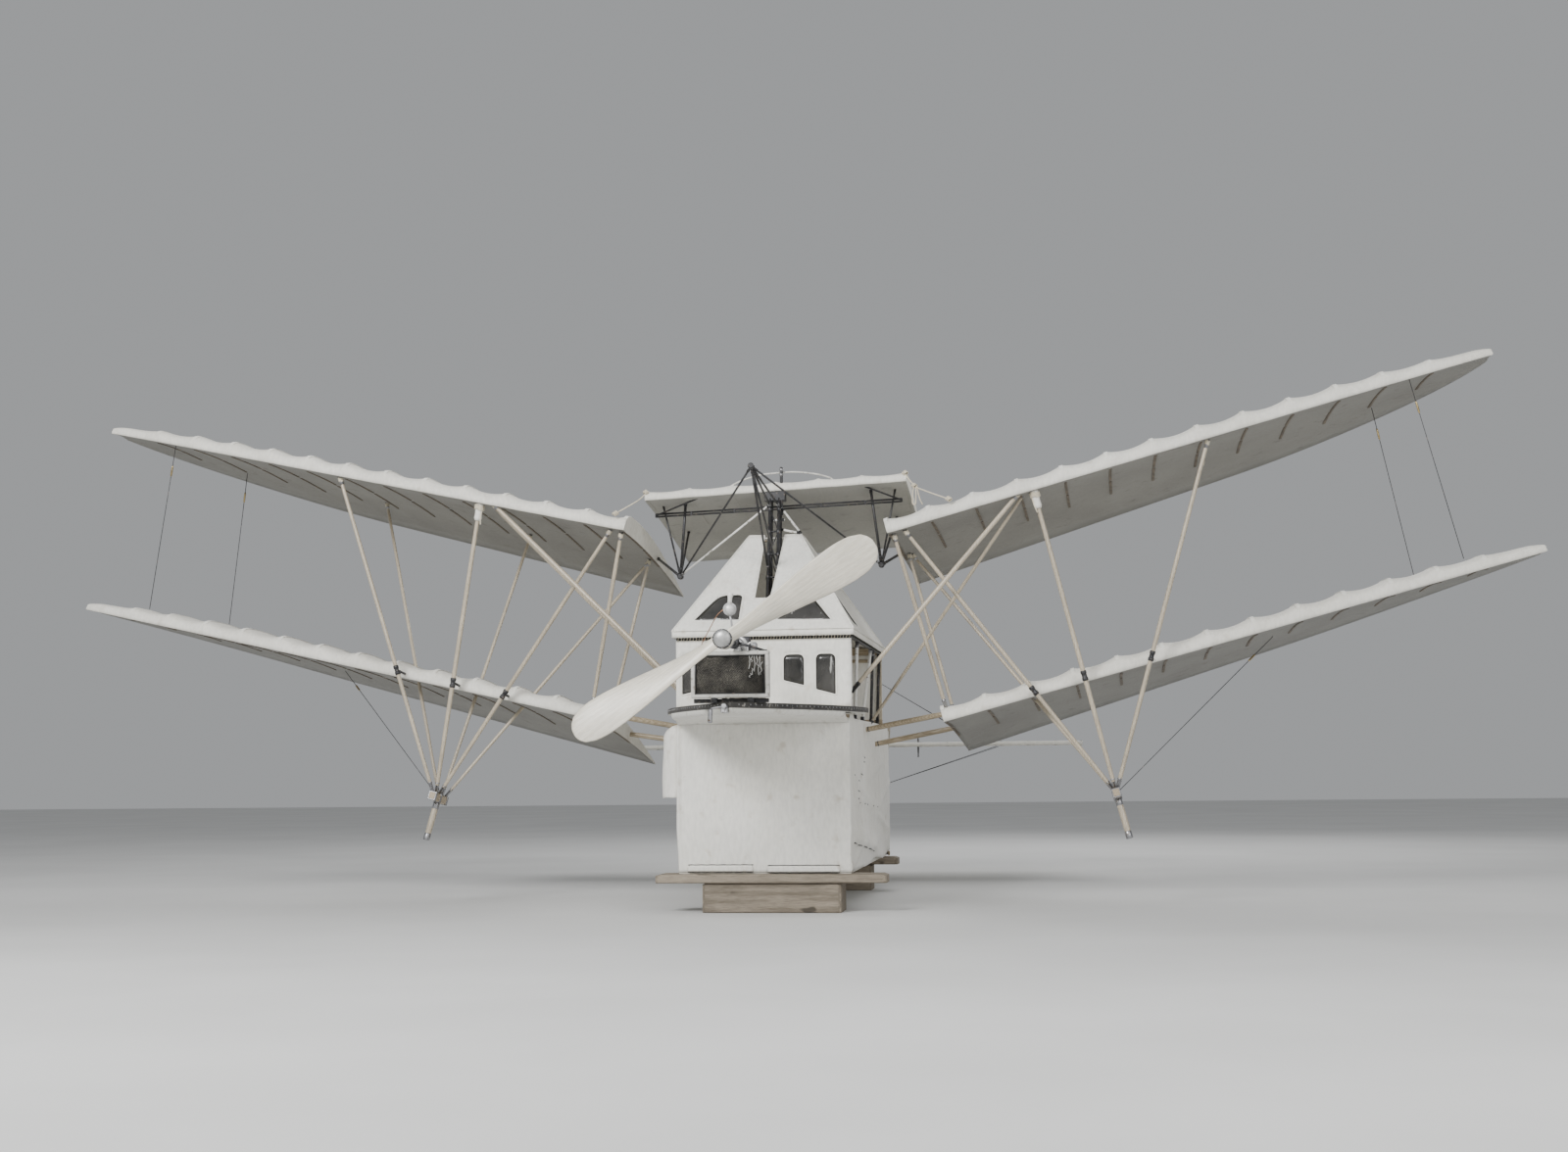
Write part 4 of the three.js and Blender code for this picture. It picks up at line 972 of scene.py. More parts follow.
def add_posts(side):
    sign = SIDES[side]["sign"]
    shape = Shape()
    for foot, top in SIDE_POSTS:
        start, end = side_post(sign, foot, top)
        floor = DECK_TOP if foot < 0.3 else DECK + 0.0003
        start = start.lerp(end, (floor - start.z) / (end.z - start.z))
        tube(shape, [start, end], 0.0148, POST_PAINT if foot < 1.5 else BLACK, 14)
        flange = ((0, 0.030), (0.004, 0.030), (0.006, 0.019), (0.040, 0.017))
        turned(shape, start, UP, flange, BLACK, 18)
        socket(shape, end, start, 0.019, STEEL, 0.07)
    x = sign * POST_TOP_X
    block(shape, (x - 0.018, 0.0463, CABIN_TOP - 0.040), (x + 0.018, 2.7357, CABIN_TOP), BLACK, 0.005)
    shape.place(f"cabin_frame_{side}", BODY, "dark_steel", [f"cabin_posts_{side}"])


# Tail surfaces: fabric over ribs

def panel_ring(lead, trail, half, sag, place):
    """Closed section from the trailing edge over the top to the nose and back below."""
    chord = trail - lead
    rows = [0, 0.012, 0.04, 0.10, 0.2, 0.34, 0.5, 0.66, 0.82, 0.94, 1]
    rise = [0.35, 0.72, 0.94, 1, 1, 1, 1, 0.97, 0.86, 0.6, 0.25]
    upper = [(lead + u * chord, half * h * (1 - sag * 4 * u * (1 - u))) for u, h in zip(rows, rise)]
    lower = [(a, -b) for a, b in upper]
    return [place(a, b) for a, b in upper[::-1] + [(lead - 0.001, 0)] + lower]


# Distance between the ribs of a tail surface
PANEL_RIB_GAP = 0.30


def add_panel(shape, spans, edges, half, place):
    """Panel along `spans`, with edges(span) giving its leading and trailing edge."""
    first, last = spans
    count = max(2, round((last - first) / PANEL_RIB_GAP))
    stations = [first + (last - first) * k / (6 * count) for k in range(6 * count + 1)]

    def ring(span):
        t = ((span - first) / (last - first) * count) % 1
        lead, trail = edges(span)
        return panel_ring(lead, trail, half, 0.30 * 4 * t * (1 - t), lambda a, b: place(span, a, b))

    skin(shape, stations, ring, LINEN, LINEN)
    for k in range(count + 1):
        span = min(max(first + (last - first) * k / count, first + 0.02), last - 0.02)
        lead, trail = edges(span)
        for sign in (1, -1):
            points = []
            for u in (0.03, 0.3, 0.6, 0.84):
                high = half * (1 if u < 0.7 else 0.86)
                points += [
                    place(span + off, lead + u * (trail - lead), sign * (high + proud))
                    for off, proud in ((-0.012, -0.001), (0.012, -0.001), (0.012, 0.0012), (-0.012, 0.0012))
                ]
            shape.add(points, grid_faces(4, 4, closed=True), WHITE_CANVAS, True)


TAIL = {"y": 5.650, "half": 2.714, "chord": 0.950, "z": 1.470}
HINGE_Y, RUDDER_Y = 6.640, 6.800


def flat_panel(sign, z):
    """Places a panel that lies flat at a height, its span towards one side."""
    return lambda span, along, high: Vector((sign * span, along, z + high))


def upright(span, along, high):
    return Vector((high, along, span))


def hinge_straps(shape, stations, half, ends, flat, edge):
    """Steel blocks from one y to another along a hinge; half is their half size along it and across."""
    for at in stations:
        low, high = (-half[1], ends[0], at - half[0]), (half[1], ends[1], at + half[0])
        if flat:
            low = (at - half[0], ends[0], TAIL["z"] - half[1])
            high = (at + half[0], ends[1], TAIL["z"] + half[1])
        block(shape, low, high, STEEL, edge)


def between(rows, at):
    return float(np.interp(at, [row[0] for row in rows], [row[1] for row in rows]))


def add_tail():
    shape = Shape()
    add_panel(shape, (-TAIL["half"], TAIL["half"]), lambda x: (
        TAIL["y"] + 0.260 * max(0, (abs(x) - TAIL["half"] + 0.170) / 0.170), TAIL["y"] + TAIL["chord"],
    ), 0.0245, flat_panel(1, TAIL["z"]))
    hinge_straps(
        shape, (-2.3, -1.2, -0.42, 0.42, 1.2, 2.3), (0.018, 0.0195), (6.545, HINGE_Y + 0.0195), True, 0.004,
    )
    shape.place("tailplane_cloth", BODY, "doped_fabric", ["tailplane"])

    shape = Shape()
    inner, front, chord = 0.330, 6.680, 0.520
    trail = (
        (inner, front + 0.02), (inner + 0.130, front + chord), (TAIL["half"] - 0.090, front + chord),
        (TAIL["half"], front + 0.02),
    )
    for sign in (-1, 1):
        add_panel(
            shape, (inner, TAIL["half"]), lambda x: (front, between(trail, x)), 0.0165,
            flat_panel(sign, TAIL["z"]),
        )
    hinge_straps(
        shape, (-2.1, -1.6, -0.8, 0.8, 1.6, 2.1), (0.019, 0.0118), (HINGE_Y, front + 0.04), True, 0.003,
    )
    tube(shape, [(-2.564, HINGE_Y, TAIL["z"]), (2.564, HINGE_Y, TAIL["z"])], 0.0138, STEEL, 16)
    for x in (-0.8, 0.8):
        for sign in (1, -1):
            horn = [(x, HINGE_Y + 0.06, TAIL["z"]), (x, HINGE_Y + 0.035, TAIL["z"] + sign * 0.13)]
            tube(shape, horn, [0.012, 0.006], BLACK, 10)
            eye = Vector(horn[1]) - Vector((0.01, 0, 0))
            turned(shape, eye, (1, 0, 0), ((0, 0.008), (0.02, 0.008)), STEEL, 12)
    shape.place("elevator_cloth", "elevator", "doped_fabric", ["elevator"])

    shape = Shape()
    foot = TAIL["z"] + 0.0253
    lead = ((foot, 5.680), (2.470, 6.470), (2.560, 6.755))
    tail_edge = ((foot, 6.590), (1.640, 6.628), (1.6401, 6.760), (2.560, 6.760))
    for spans in ((foot, 1.6400), (1.6402, 2.560)):
        add_panel(shape, spans, lambda z: (between(lead, z), between(tail_edge, z)), 0.0178, upright)
    hinge_straps(shape, (1.700, 2.120, 2.500), (0.0195, 0.0215), (6.742, RUDDER_Y + 0.0215), False, 0.004)
    shape.place("fin_cloth", BODY, "doped_fabric", ["fin"])

    shape = Shape()
    trail = (
        (1.760, 6.870), (1.800, 7.180), (1.860, 7.340), (2.180, 7.458), (2.450, 7.415), (2.640, 7.335),
        (2.700, 7.290),
    )
    add_panel(shape, (1.762, 2.699), lambda z: (6.840, between(trail, z)), 0.0148, upright)
    hinge_straps(shape, (1.900, 2.300, 2.640), (0.0195, 0.0118), (RUDDER_Y, 6.862), False, 0.003)
    tube(shape, [(0, RUDDER_Y, 1.560), (0, RUDDER_Y, 2.700)], 0.0138, STEEL, 16)
    for sign in (-1, 1):
        horn = [(0, RUDDER_Y + 0.05, 1.90), (sign * 0.13, RUDDER_Y + 0.03, 1.90)]
        tube(shape, horn, [0.010, 0.006], BLACK, 10)
    shape.place("rudder_cloth", "rudder", "doped_fabric", ["rudder"])

    shape = Shape()
    for sign in (-1, 1):
        for (x0, y0, z0), (x1, z1) in (
            ((0.020, 6.50, 2.42), (1.55, 1.496)), ((0.30, 6.45, 0.98), (1.75, 1.444)),
        ):
            for y1 in (5.95, 6.50):
                tube(shape, [(sign * x0, y0, z0), (sign * x1, y1, z1)], WIRE, BLACK, 6)
    shape.place("tail_wires", BODY, "dark_steel")


# Hull: planked look, with battens along its edges, on its deck and on its stern

def planks_look():
    look = Look("hull_planking", 0.55)
    tone = look.ramp(look.noise(2.2, 5), (0.32, (0.70, 0.67, 0.58)), (0.66, (0.80, 0.78, 0.70)))
    streaks = look.grey(look.noise(30, 4, (1, 0.05, 1)), 0.88, 1.0)
    tone = look.blend(tone, streaks, 1.0, "MULTIPLY")
    level_seams = look.grey(look.wave(1.30, "Z"), 0.0, 1.0, 0.0, 0.035)
    deck_seams = look.grey(look.wave(1.30, "X"), 0.0, 1.0, 0.0, 0.035)
    normal = look.node("ShaderNodeNewGeometry").outputs["Normal"]
    up = look.node("ShaderNodeSeparateXYZ", Vector=normal).outputs["Z"]
    flat = look.node("ShaderNodeMath", {"operation": "ABSOLUTE"})
    look.tree.links.new(up, flat.inputs[0])
    flat = look.grey(flat.outputs[0], 0.0, 1.0, 0.6, 0.7)
    seams = look.blend(level_seams, deck_seams, flat)
    tone = look.blend((0.30, 0.27, 0.21), tone, seams)
    worn = look.grey(look.noise(7, 6), 1.0, 0.0, 0.64, 0.72)
    look.color(look.blend((0.48, 0.40, 0.28), tone, worn))
    return look.bump((seams, 0.6, 0.003), (look.noise(120, 4, (1, 0.1, 1)), 0.2, 0.001))


HULL_STATIONS = (
    # y, half-width at the chine, half-width at the deck, bottom, deck height
    (0, 0.734, 0.734, 0.327, 1.635), (3.650, 0.700, 0.734, 0.327, 1.635), (3.658, 0.695, 0.734, 0.417, 1.635),
    (5.300, 0.480, 0.560, 0.620, 1.4447), (6.580, 0.260, 0.320, 0.880, 1.4447),
)
# Where the strips come out from under the bow cover
COVER_END = {"right": 3.420, "left": 1.270}


def strip(shape, path, out, up, width, height, look):
    """Batten with a rounded outer face, laid along a path: `out` points away from the hull."""
    profile = ((0, 0), (0.75, 0), (1, 0.25), (1, 0.75), (0.75, 1), (0, 1))
    out, up = Vector(out), Vector(up)
    points = [Vector(p) + out * (width * a) + up * (height * b) for p in path for a, b in profile]
    shape.add(points, ringed_faces(len(path), len(profile), turn_last=True), look, True)


def wear(node, look):
    """Gives a solid of the CAD that stays visible its look."""
    NODES[node].data.materials.clear()
    NODES[node].data.materials.append(look)


def add_hull():
    wear("hull", planks_look())
    shape = Shape()
    for sign in (-1, 1):
        start = COVER_END["right" if sign > 0 else "left"]
        for rows in (HULL_STATIONS[:2], HULL_STATIONS[2:]):
            chine = [(sign * low, max(y, start), bottom + 0.001) for y, low, _, bottom, _ in rows]
            strip(shape, chine, (sign, 0, 0), UP, 0.016, 0.045, SPRUCE_Y)
        deck = [(sign * high, max(y, start), top - 0.052) for y, _, high, _, top in HULL_STATIONS]
        strip(shape, deck, (sign, 0, 0), UP, 0.016, 0.050, SPRUCE_Y)
        for y in (0.9, 1.7, 2.5):
            rail = [(sign * 0.560, y - 0.39, DECK), (sign * 0.560, y + 0.39, DECK)]
            strip(shape, rail, (sign * 0.5, 0, 0), UP, 0.040, 0.030, SPRUCE_Y)
    block(shape, (-0.42, 3.288, DECK - 0.002), (0.42, 3.312, DECK + 0.010), SPRUCE_X, 0.003)
    for z in (0.93, 1.38):
        block(shape, (-0.25, 6.578, z), (0.25, 6.592, z + 0.05), SPRUCE_X, 0.004)
    for x in (-0.25, 0.20):
        block(shape, (x, 6.578, 0.93), (x + 0.05, 6.592, 1.43), SPRUCE_X, 0.004)
    shape.place("hull_rubbing_strips", BODY, "spruce")


def add_cradle():
    """Rough-sawn timbers under the bow and behind the middle of the hull: two below, one across them."""
    for node, rows in (
        ("front_cradle", (
            ((-0.530, -0.040, 0.0), (0.650, 0.178, 0.2495)), ((-0.528, 0.184, 0.0), (0.646, 0.400, 0.2485)),
            ((-0.930, -0.070, 0.2500), (1.040, 0.190, 0.3267)),
        )),
        ("rear_cradle", (
            ((-0.590, 3.050, 0.0), (0.590, 3.246, 0.2495)), ((-0.588, 3.252, 0.0), (0.586, 3.450, 0.2490)),
            ((-0.850, 3.120, 0.2500), (0.850, 3.380, 0.3267)),
        )),
    ):
        shape = Shape()
        for low, high in rows:
            rough_beam(shape, Vector(low), Vector(high))
        shape.place(f"{node}_timbers", BODY, "rough_timber", [node])


def rough_beam(shape, low, high):
    """Beam along X as a grid of rings with worn corners and slightly wavy faces."""
    steps, corner = 48, 0.010
    middle, half = (low + high) / 2, (high - low) / 2
    near_y, near_z = 1 - corner / half.y, 1 - corner / half.z
    ring = []
    for sy, sz in ((-1, -1), (1, -1), (1, 1), (-1, 1)):
        pair = [(sy, sz * near_z), (sy * near_y, sz)]
        ring += pair if sy * sz > 0 else pair[::-1]
    points = []
    for k in range(steps + 1):
        x = low.x + (high.x - low.x) * k / steps
        squeeze = 0.012 if k in (0, steps) else 0
        for y, z in ring:
            wave = abs(noise.noise(Vector((x * 3.1, y * 2 + low.y * 5, z * 2 + low.z * 7))) * 0.004)
            drop, sunk = (squeeze, wave) if z > 0 else (0, 0)
            depth = Vector((0, y * (half.y - squeeze - wave), z * (half.z - drop) - sunk))
            points.append(Vector((x, middle.y, middle.z)) + depth)
    centre = sum(points, Vector()) / len(points)
    faces = []
    for face in ringed_faces(steps + 1, len(ring), turn_last=True):
        inner = Vector((points[face[0]].x, middle.y, middle.z)) if len(face) == 4 else centre
        faces.append(outward(points, face, inner))
    shape.add(points, faces, TIMBER, True)


for side in SIDES:
    add_posts(side)
add_tail()
add_hull()
add_cradle()


# Cloth: cut sheets with holes, and their hems

def inside(p, loop):
    hit = False
    for (x0, y0), (x1, y1) in zip(loop, loop[1:] + loop[:1]):
        if (y0 > p[1]) != (y1 > p[1]) and p[0] < (x1 - x0) * (p[1] - y0) / (y1 - y0) + x0:
            hit = not hit
    return hit


def rounded(corners, steps=6):
    """Outline with round corners, from rows of x, y and corner radius."""
    loop = []
    for i, (x, y, radius) in enumerate(corners):
        at = Vector((x, y))
        before, after = Vector(corners[i - 1][:2]), Vector(corners[(i + 1) % len(corners)][:2])
        a = at + (before - at).normalized() * radius
        b = at + (after - at).normalized() * radius
        loop += [
            tuple(a * (1 - t) ** 2 + at * (2 * t * (1 - t)) + b * t * t)
            for t in (k / steps for k in range(steps + 1))
        ]
    return loop


def spread(loop, gap):
    """The loop with points added so that none are further apart than the gap."""
    points = []
    for a, b in zip(loop, loop[1:] + loop[:1]):
        a, b = Vector(a), Vector(b)
        count = max(1, math.ceil((b - a).length / gap))
        points += [tuple(a.lerp(b, k / count)) for k in range(count)]
    return points


def cut_cloth(outline, holes, gap):
    """Flat triangles that fill the outline around its holes."""
    loops = [spread(loop, gap) for loop in (outline, *holes)]
    points, edges = [], []
    for loop in loops:
        start = len(points)
        points += loop
        edges += [(start + k, start + (k + 1) % len(loop)) for k in range(len(loop))]
    rim = np.array(points)
    (x0, y0), (x1, y1) = rim.min(0), rim.max(0)
    rows = int((y1 - y0) / gap) + 1
    for row in range(1, rows):
        for column in range(int((x1 - x0) / gap) + 2):
            p = (x0 + (column + 0.5 * (row % 2)) * gap, y0 + (y1 - y0) * row / rows)
            if inside(p, loops[0]) and not any(inside(p, loop) for loop in loops[1:]):
                if np.min(np.hypot(*(rim - p).T)) > 0.4 * gap:
                    points.append(p)
    made = geometry.delaunay_2d_cdt([Vector(p) for p in points], edges, [], 0, 1e-7)
    points = [tuple(p) for p in made[0]]
    kept = []
    for face in made[2]:
        middle = tuple(sum(points[i][k] for i in face) / 3 for k in (0, 1))
        if inside(middle, loops[0]) and not any(inside(middle, loop) for loop in loops[1:]):
            kept.append(tuple(face))
    return points, kept


def weld(points, faces):
    """Joins points that coincide to a tenth of a millimetre."""
    index, kept, remap = {}, [], []
    for p in points:
        key = tuple(round(c / 1e-4) for c in p)
        if key not in index:
            index[key] = len(kept)
            kept.append(Vector(p))
        remap.append(index[key])
    faces = [tuple(remap[i] for i in face) for face in faces]
    return kept, [face for face in faces if len(set(face)) == len(face)]


def point_normals(points, faces):
    normals = [Vector() for _ in points]
    for face in faces:
        a, b, c = (points[i] for i in face[:3])
        across = (b - a).cross(c - a) if len(face) == 3 else (points[face[2]] - a).cross(points[face[3]] - b)
        for i in face:
            normals[i] += across
    return [n.normalized() for n in normals]


def turned_from(points, faces, probe, axis):
    """The faces, all turned round if the normal at one point leans along an axis."""
    if getattr(point_normals(points, faces)[probe], axis) > 0:
        return [face[::-1] for face in faces]
    return faces


def cloth(shape, points, faces, thickness, look):
    """Closed thin shell: the faces, their inner copy and a rim along every free edge. Returns its area."""
    normals = point_normals(points, faces)
    back = [p - n * thickness for p, n in zip(points, normals)]
    count = len(points)
    edges = dict.fromkeys(edge for face in faces for edge in zip(face, face[1:] + face[:1]))
    rim = [(b, a, a + count, b + count) for a, b in edges if (b, a) not in edges]
    start = len(shape.points)
    shape.points += [Vector(p) for p in points + back]
    for face in faces + [tuple(i + count for i in face[::-1]) for face in faces] + rim:
        shape.add_face([start + i for i in face], look)
    fans = [(face[0], face[k], face[k + 1]) for face in faces for k in range(1, len(face) - 1)]
    return sum(geometry.area_tri(*(points[i] for i in fan)) for fan in fans)


def hem(shape, loop, place, width, lift, look):
    """Sewn band along a loop: `place` maps flat points and a height to space."""
    loop = spread(loop, 0.02)
    count = len(loop)
    area = sum(a[0] * b[1] - b[0] * a[1] for a, b in zip(loop, loop[1:] + loop[:1]))
    outer = []
    for k in range(count):
        step = Vector(loop[(k + 1) % count]) - Vector(loop[k - 1])
        away = Vector((step.y, -step.x)).normalized() * (1 if area > 0 else -1)
        outer.append(Vector(loop[k]) + away * width)
    points = []
    for inner, far in zip(loop, outer):
        near, middle = Vector(inner), Vector(inner).lerp(far, 0.5)
        points += [
            place(*near, -0.001), place(*near, lift), place(*middle, lift * 1.15), place(*far, lift * 0.9),
            place(*far, -0.001),
        ]
    faces = grid_faces(count, 5, closed=True)
    faces += [((count - 1) * 5 + c, (count - 1) * 5 + (c + 1) % 5, (c + 1) % 5, c) for c in range(5)]
    shape.add(points, faces if area > 0 else [face[::-1] for face in faces], look)


# Canvas roof: one sheet over the four slopes, slotted in front, with a valance below its foot

ROOF = {
    "half": 0.785, "front": -0.025, "back": 2.800, "eave": 2.395, "eave_back": 2.386,
    "top_half": 0.237, "top_front": 0.800, "top_back": 1.010, "top": 3.300,
}
VALANCE = 0.057


def roof_sides():
    """Each slope: foot left, foot right, top left, top right, as seen from outside."""
    r = ROOF

    def corners(half, front, back, z, z_back):
        places = ((-half, front, z), (half, front, z), (half, back, z_back), (-half, back, z_back))
        return [Vector(p) for p in places]

    foot = corners(r["half"], r["front"], r["back"], r["eave"], r["eave_back"])
    top = corners(r["top_half"], r["top_front"], r["top_back"], r["top"], r["top"])
    names = ("front", "right", "back", "left")
    return {name: (foot[k], foot[(k + 1) % 4], top[k], top[(k + 1) % 4]) for k, name in enumerate(names)}


class Slope:
    """One slope of the roof: flat coordinates across and up it, and where they are in space."""

    def __init__(self, corners, sag):
        self.a, self.b, self.c, self.d = corners
        self.low, self.high = (self.b - self.a).length, (self.d - self.c).length
        self.rise = ((self.c + self.d) / 2 - (self.a + self.b) / 2).length
        self.normal = (self.b - self.a).cross(self.c - self.a).normalized()
        self.sag = sag

    def width(self, y):
        t = max(0.0, y / self.rise)
        return self.low + (self.high - self.low) * t

    def at(self, x, y, lift=0.0):
        t = y / self.rise
        s = x / self.width(y) + 0.5
        if t < 0:
            p = self.a.lerp(self.b, s) + Vector((0, 0, y))
            flare = Vector((self.normal.x, self.normal.y, 0)).normalized()
            edge = 16 * (s * (1 - s)) ** 2
            wave = 0.004 * math.sin(x * 23) + 0.006 * noise.noise(p * 5)
            return p + flare * (lift + edge * min(1, -y / 0.03) * abs(wave))
        p = self.a.lerp(self.b, s).lerp(self.c.lerp(self.d, s), t)
        hollow = max(0.0, 4 * s * (1 - s)) ** 0.8 * max(0.0, 4 * t * (1 - t)) ** 0.7
        ripple = 0.005 * noise.noise(p * 3.2) + 0.002 * noise.noise(p * 11)
        return p + self.normal * (lift - self.sag * hollow + ripple * min(1.0, 2 * hollow))

    def flat(self, along, z):
        """Flat coordinates of a point given by its distance along the slope's foot and its height."""
        foot, top = (self.a + self.b) / 2, (self.c + self.d) / 2
        return along, (z - foot.z) / (top.z - foot.z) * self.rise


def slope_outline(slope):
    """Flat outline of a slope and its valance, whose lower edge is slightly scalloped."""
    rows, half, high = 30, slope.low / 2, slope.high / 2
    right = [(half + (high - half) * k / rows, slope.rise * k / rows) for k in range(rows + 1)]
    scallop = [(-half + slope.low * k / 60, -VALANCE - 0.004 * math.sin(k * 1.7) ** 2) for k in range(61)]
    scallop[0], scallop[-1] = (-half, -VALANCE), (half, -VALANCE)
    return scallop + right + [(-x, y) for x, y in right[::-1]]


FRONT_WINDOWS = (
    # rows of x, height and radius of each corner
    (
        (-0.605, 2.497, 0.012), (-0.219, 2.497, 0.012), (-0.219, 2.738, 0.045), (-0.395, 2.733, 0.060),
        (-0.460, 2.682, 0.050),
    ),
    ((0.114, 2.497, 0.012), (0.583, 2.480, 0.012), (0.392, 2.712, 0.060), (0.328, 2.700, 0.035)),
)
# Rows of y, height and radius of each corner, on both sides
SIDE_WINDOW = ((0.430, 2.470, 0.012), (0.860, 2.470, 0.012), (0.730, 2.725, 0.050), (0.480, 2.735, 0.030))


def add_roof():
    slopes = {name: Slope(corners, 0.022) for name, corners in roof_sides().items()}
    front, right, left = (slopes[name] for name in ("front", "right", "left"))
    slot = [front.flat(x, z) for x, z in ((-0.110, 2.700), (0.030, 2.700), (0.088, 3.300), (-0.095, 3.300))]
    middle = (ROOF["front"] + ROOF["back"]) / 2
    windows = {
        "front": [[(*front.flat(x, z), r) for x, z, r in corners] for corners in FRONT_WINDOWS],
        "right": [[(*right.flat(y - middle, z), r) for y, z, r in SIDE_WINDOW]],
        "left": [[(*left.flat(middle - y, z), r) for y, z, r in SIDE_WINDOW[::-1]]],
    }
    points, faces, panes, seams = [], [], Shape(), Shape()
    for name, slope in slopes.items():
        holes = [rounded(rows) for rows in windows.get(name, [])]
        outline = slope_outline(slope)
        if name == "front":
            top = [(x, y) for x, y in outline if y >= slope.rise - 1e-6]
            rest = [(x, y) for x, y in outline if y < slope.rise - 1e-6]
            cut = next(i for i, (x, y) in enumerate(rest) if x < 0 and y > 0)
            outline = rest[:cut] + [top[0], slot[2], slot[1], slot[0], slot[3], top[1]] + rest[cut:]
        flat_points, flat_faces = cut_cloth(outline, holes, 0.042)
        start = len(points)
        points += [slope.at(x, y) for x, y in flat_points]
        faces += [tuple(start + i for i in face) for face in flat_faces]
        for hole in holes:
            hem(seams, hole, slope.at, 0.020, 0.0022, WHITE_CANVAS)
            pane_points, pane_faces = cut_cloth(hole, [], 0.05)
            # Both pane looks are dark: painted shade of the cabin seen through the windows.
            look, lift = (SHADED_CELLULOID, -0.006) if name == "front" else (SHADE_PANE, 0.0045)
            panel = [slope.at(x, y, lift) for x, y in pane_points]
            cloth(panes, panel, pane_faces, THICK["pane"], look)
    points, faces = weld(points, faces)
    shape = Shape()
    area = cloth(shape, points, faces, THICK["roof"], WHITE_CANVAS)
    roof = shape.place("roof_canvas", BODY, "canvas", ["roof"])
    for a, b, steps in ((slot[1], slot[2], 24), (slot[3], slot[0], 24), (slot[0], slot[1], 6)):
        edge = [Vector(a).lerp(Vector(b), k / steps) for k in range(steps + 1)]
        tube(seams, [front.at(p.x, p.y) for p in edge], 0.0055, WHITE_CANVAS, 10)
    for name, slope in slopes.items():
        rows = [k / 30 * slope.rise for k in range(31)]
        tube(seams, [slope.at(slope.width(y) / 2, y) for y in rows], 0.0060, WHITE_CANVAS, 10)
        half = slope.high / 2
        for x0, x1 in [(-half, half)] if name != "front" else [(-half, slot[3][0]), (slot[2][0], half)]:
            ridge = [slope.at(x0 + (x1 - x0) * k / 10, slope.rise - 1e-5) for k in range(11)]
            tube(seams, ridge, 0.0065, WHITE_CANVAS, 10)
        line = [slope.at(-slope.low / 2 + slope.low * k / 80, 0.0) for k in range(81)]
        tube(seams, line, 0.0058, WHITE_CANVAS, 8)
    hems = seams.place("roof_hems", BODY, "canvas")
    glass = panes.place("roof_panes", BODY, "canvas")
    # The flat sheet is taken as a square with sides 1.25 times those of a square of the cloth's area
    add_roof_frame()


def add_roof_frame():
    """Wooden ring at the roof's foot, a rafter up each corner and a ring at its mouth, open in the middle."""
    shape = Shape()
    half, front, back = ROOF["half"] - 0.006, ROOF["front"] + 0.006, ROOF["back"] - 0.006
    bottom, mouth = 2.3606, 3.272
    block(shape, (-half, front, bottom), (half, front + 0.064, 2.391), SPRUCE_X, 0.006)
    block(shape, (-half, back - 0.064, bottom), (half, back, 2.382), SPRUCE_X, 0.006)
    for sign in (-1, 1):
        x0, x1 = sorted((sign * half, sign * (half - 0.064)))
        block(shape, (x0, front + 0.065, bottom), (x1, back - 0.065, 2.384), SPRUCE_Y, 0.006)
    top_x, top_ys = ROOF["top_half"] - 0.028, (ROOF["top_front"] + 0.02, ROOF["top_back"] - 0.02)
    for sign in (-1, 1):
        for foot_y, top_y in zip((ROOF["front"] + 0.03, ROOF["back"] - 0.03), top_ys):
            foot, head = (sign * (ROOF["half"] - 0.035), foot_y, 2.376), (sign * top_x, top_y, mouth)
            tube(shape, [foot, head], 0.011, SPRUCE, 10)
    for y in top_ys:
        for x0, x1 in ((-top_x, -0.105), (0.100, top_x)):
            tube(shape, [(x0, y, mouth), (x1, y, mouth)], 0.010, SPRUCE_X, 10)
    for sign in (-1, 1):
        tube(shape, [(sign * top_x, y, mouth) for y in top_ys], 0.010, SPRUCE_Y, 10)
    shape.place("roof_frame", BODY, "spruce")


# Cabin walls: canvas laced over a wooden frame

CABIN_WINDOWS = (
    # left, right, top, bottom at left, bottom at right
    (0.176, 0.351, 2.178, 1.960, 1.915), (0.455, 0.622, 2.180, 1.880, 1.835),
    (-0.705, -0.540, 2.185, 1.850, 1.890),
)
CABIN = {"half": 0.758, "front": 0.022, "back": 2.760, "wall": 0.024, "top": 2.360}


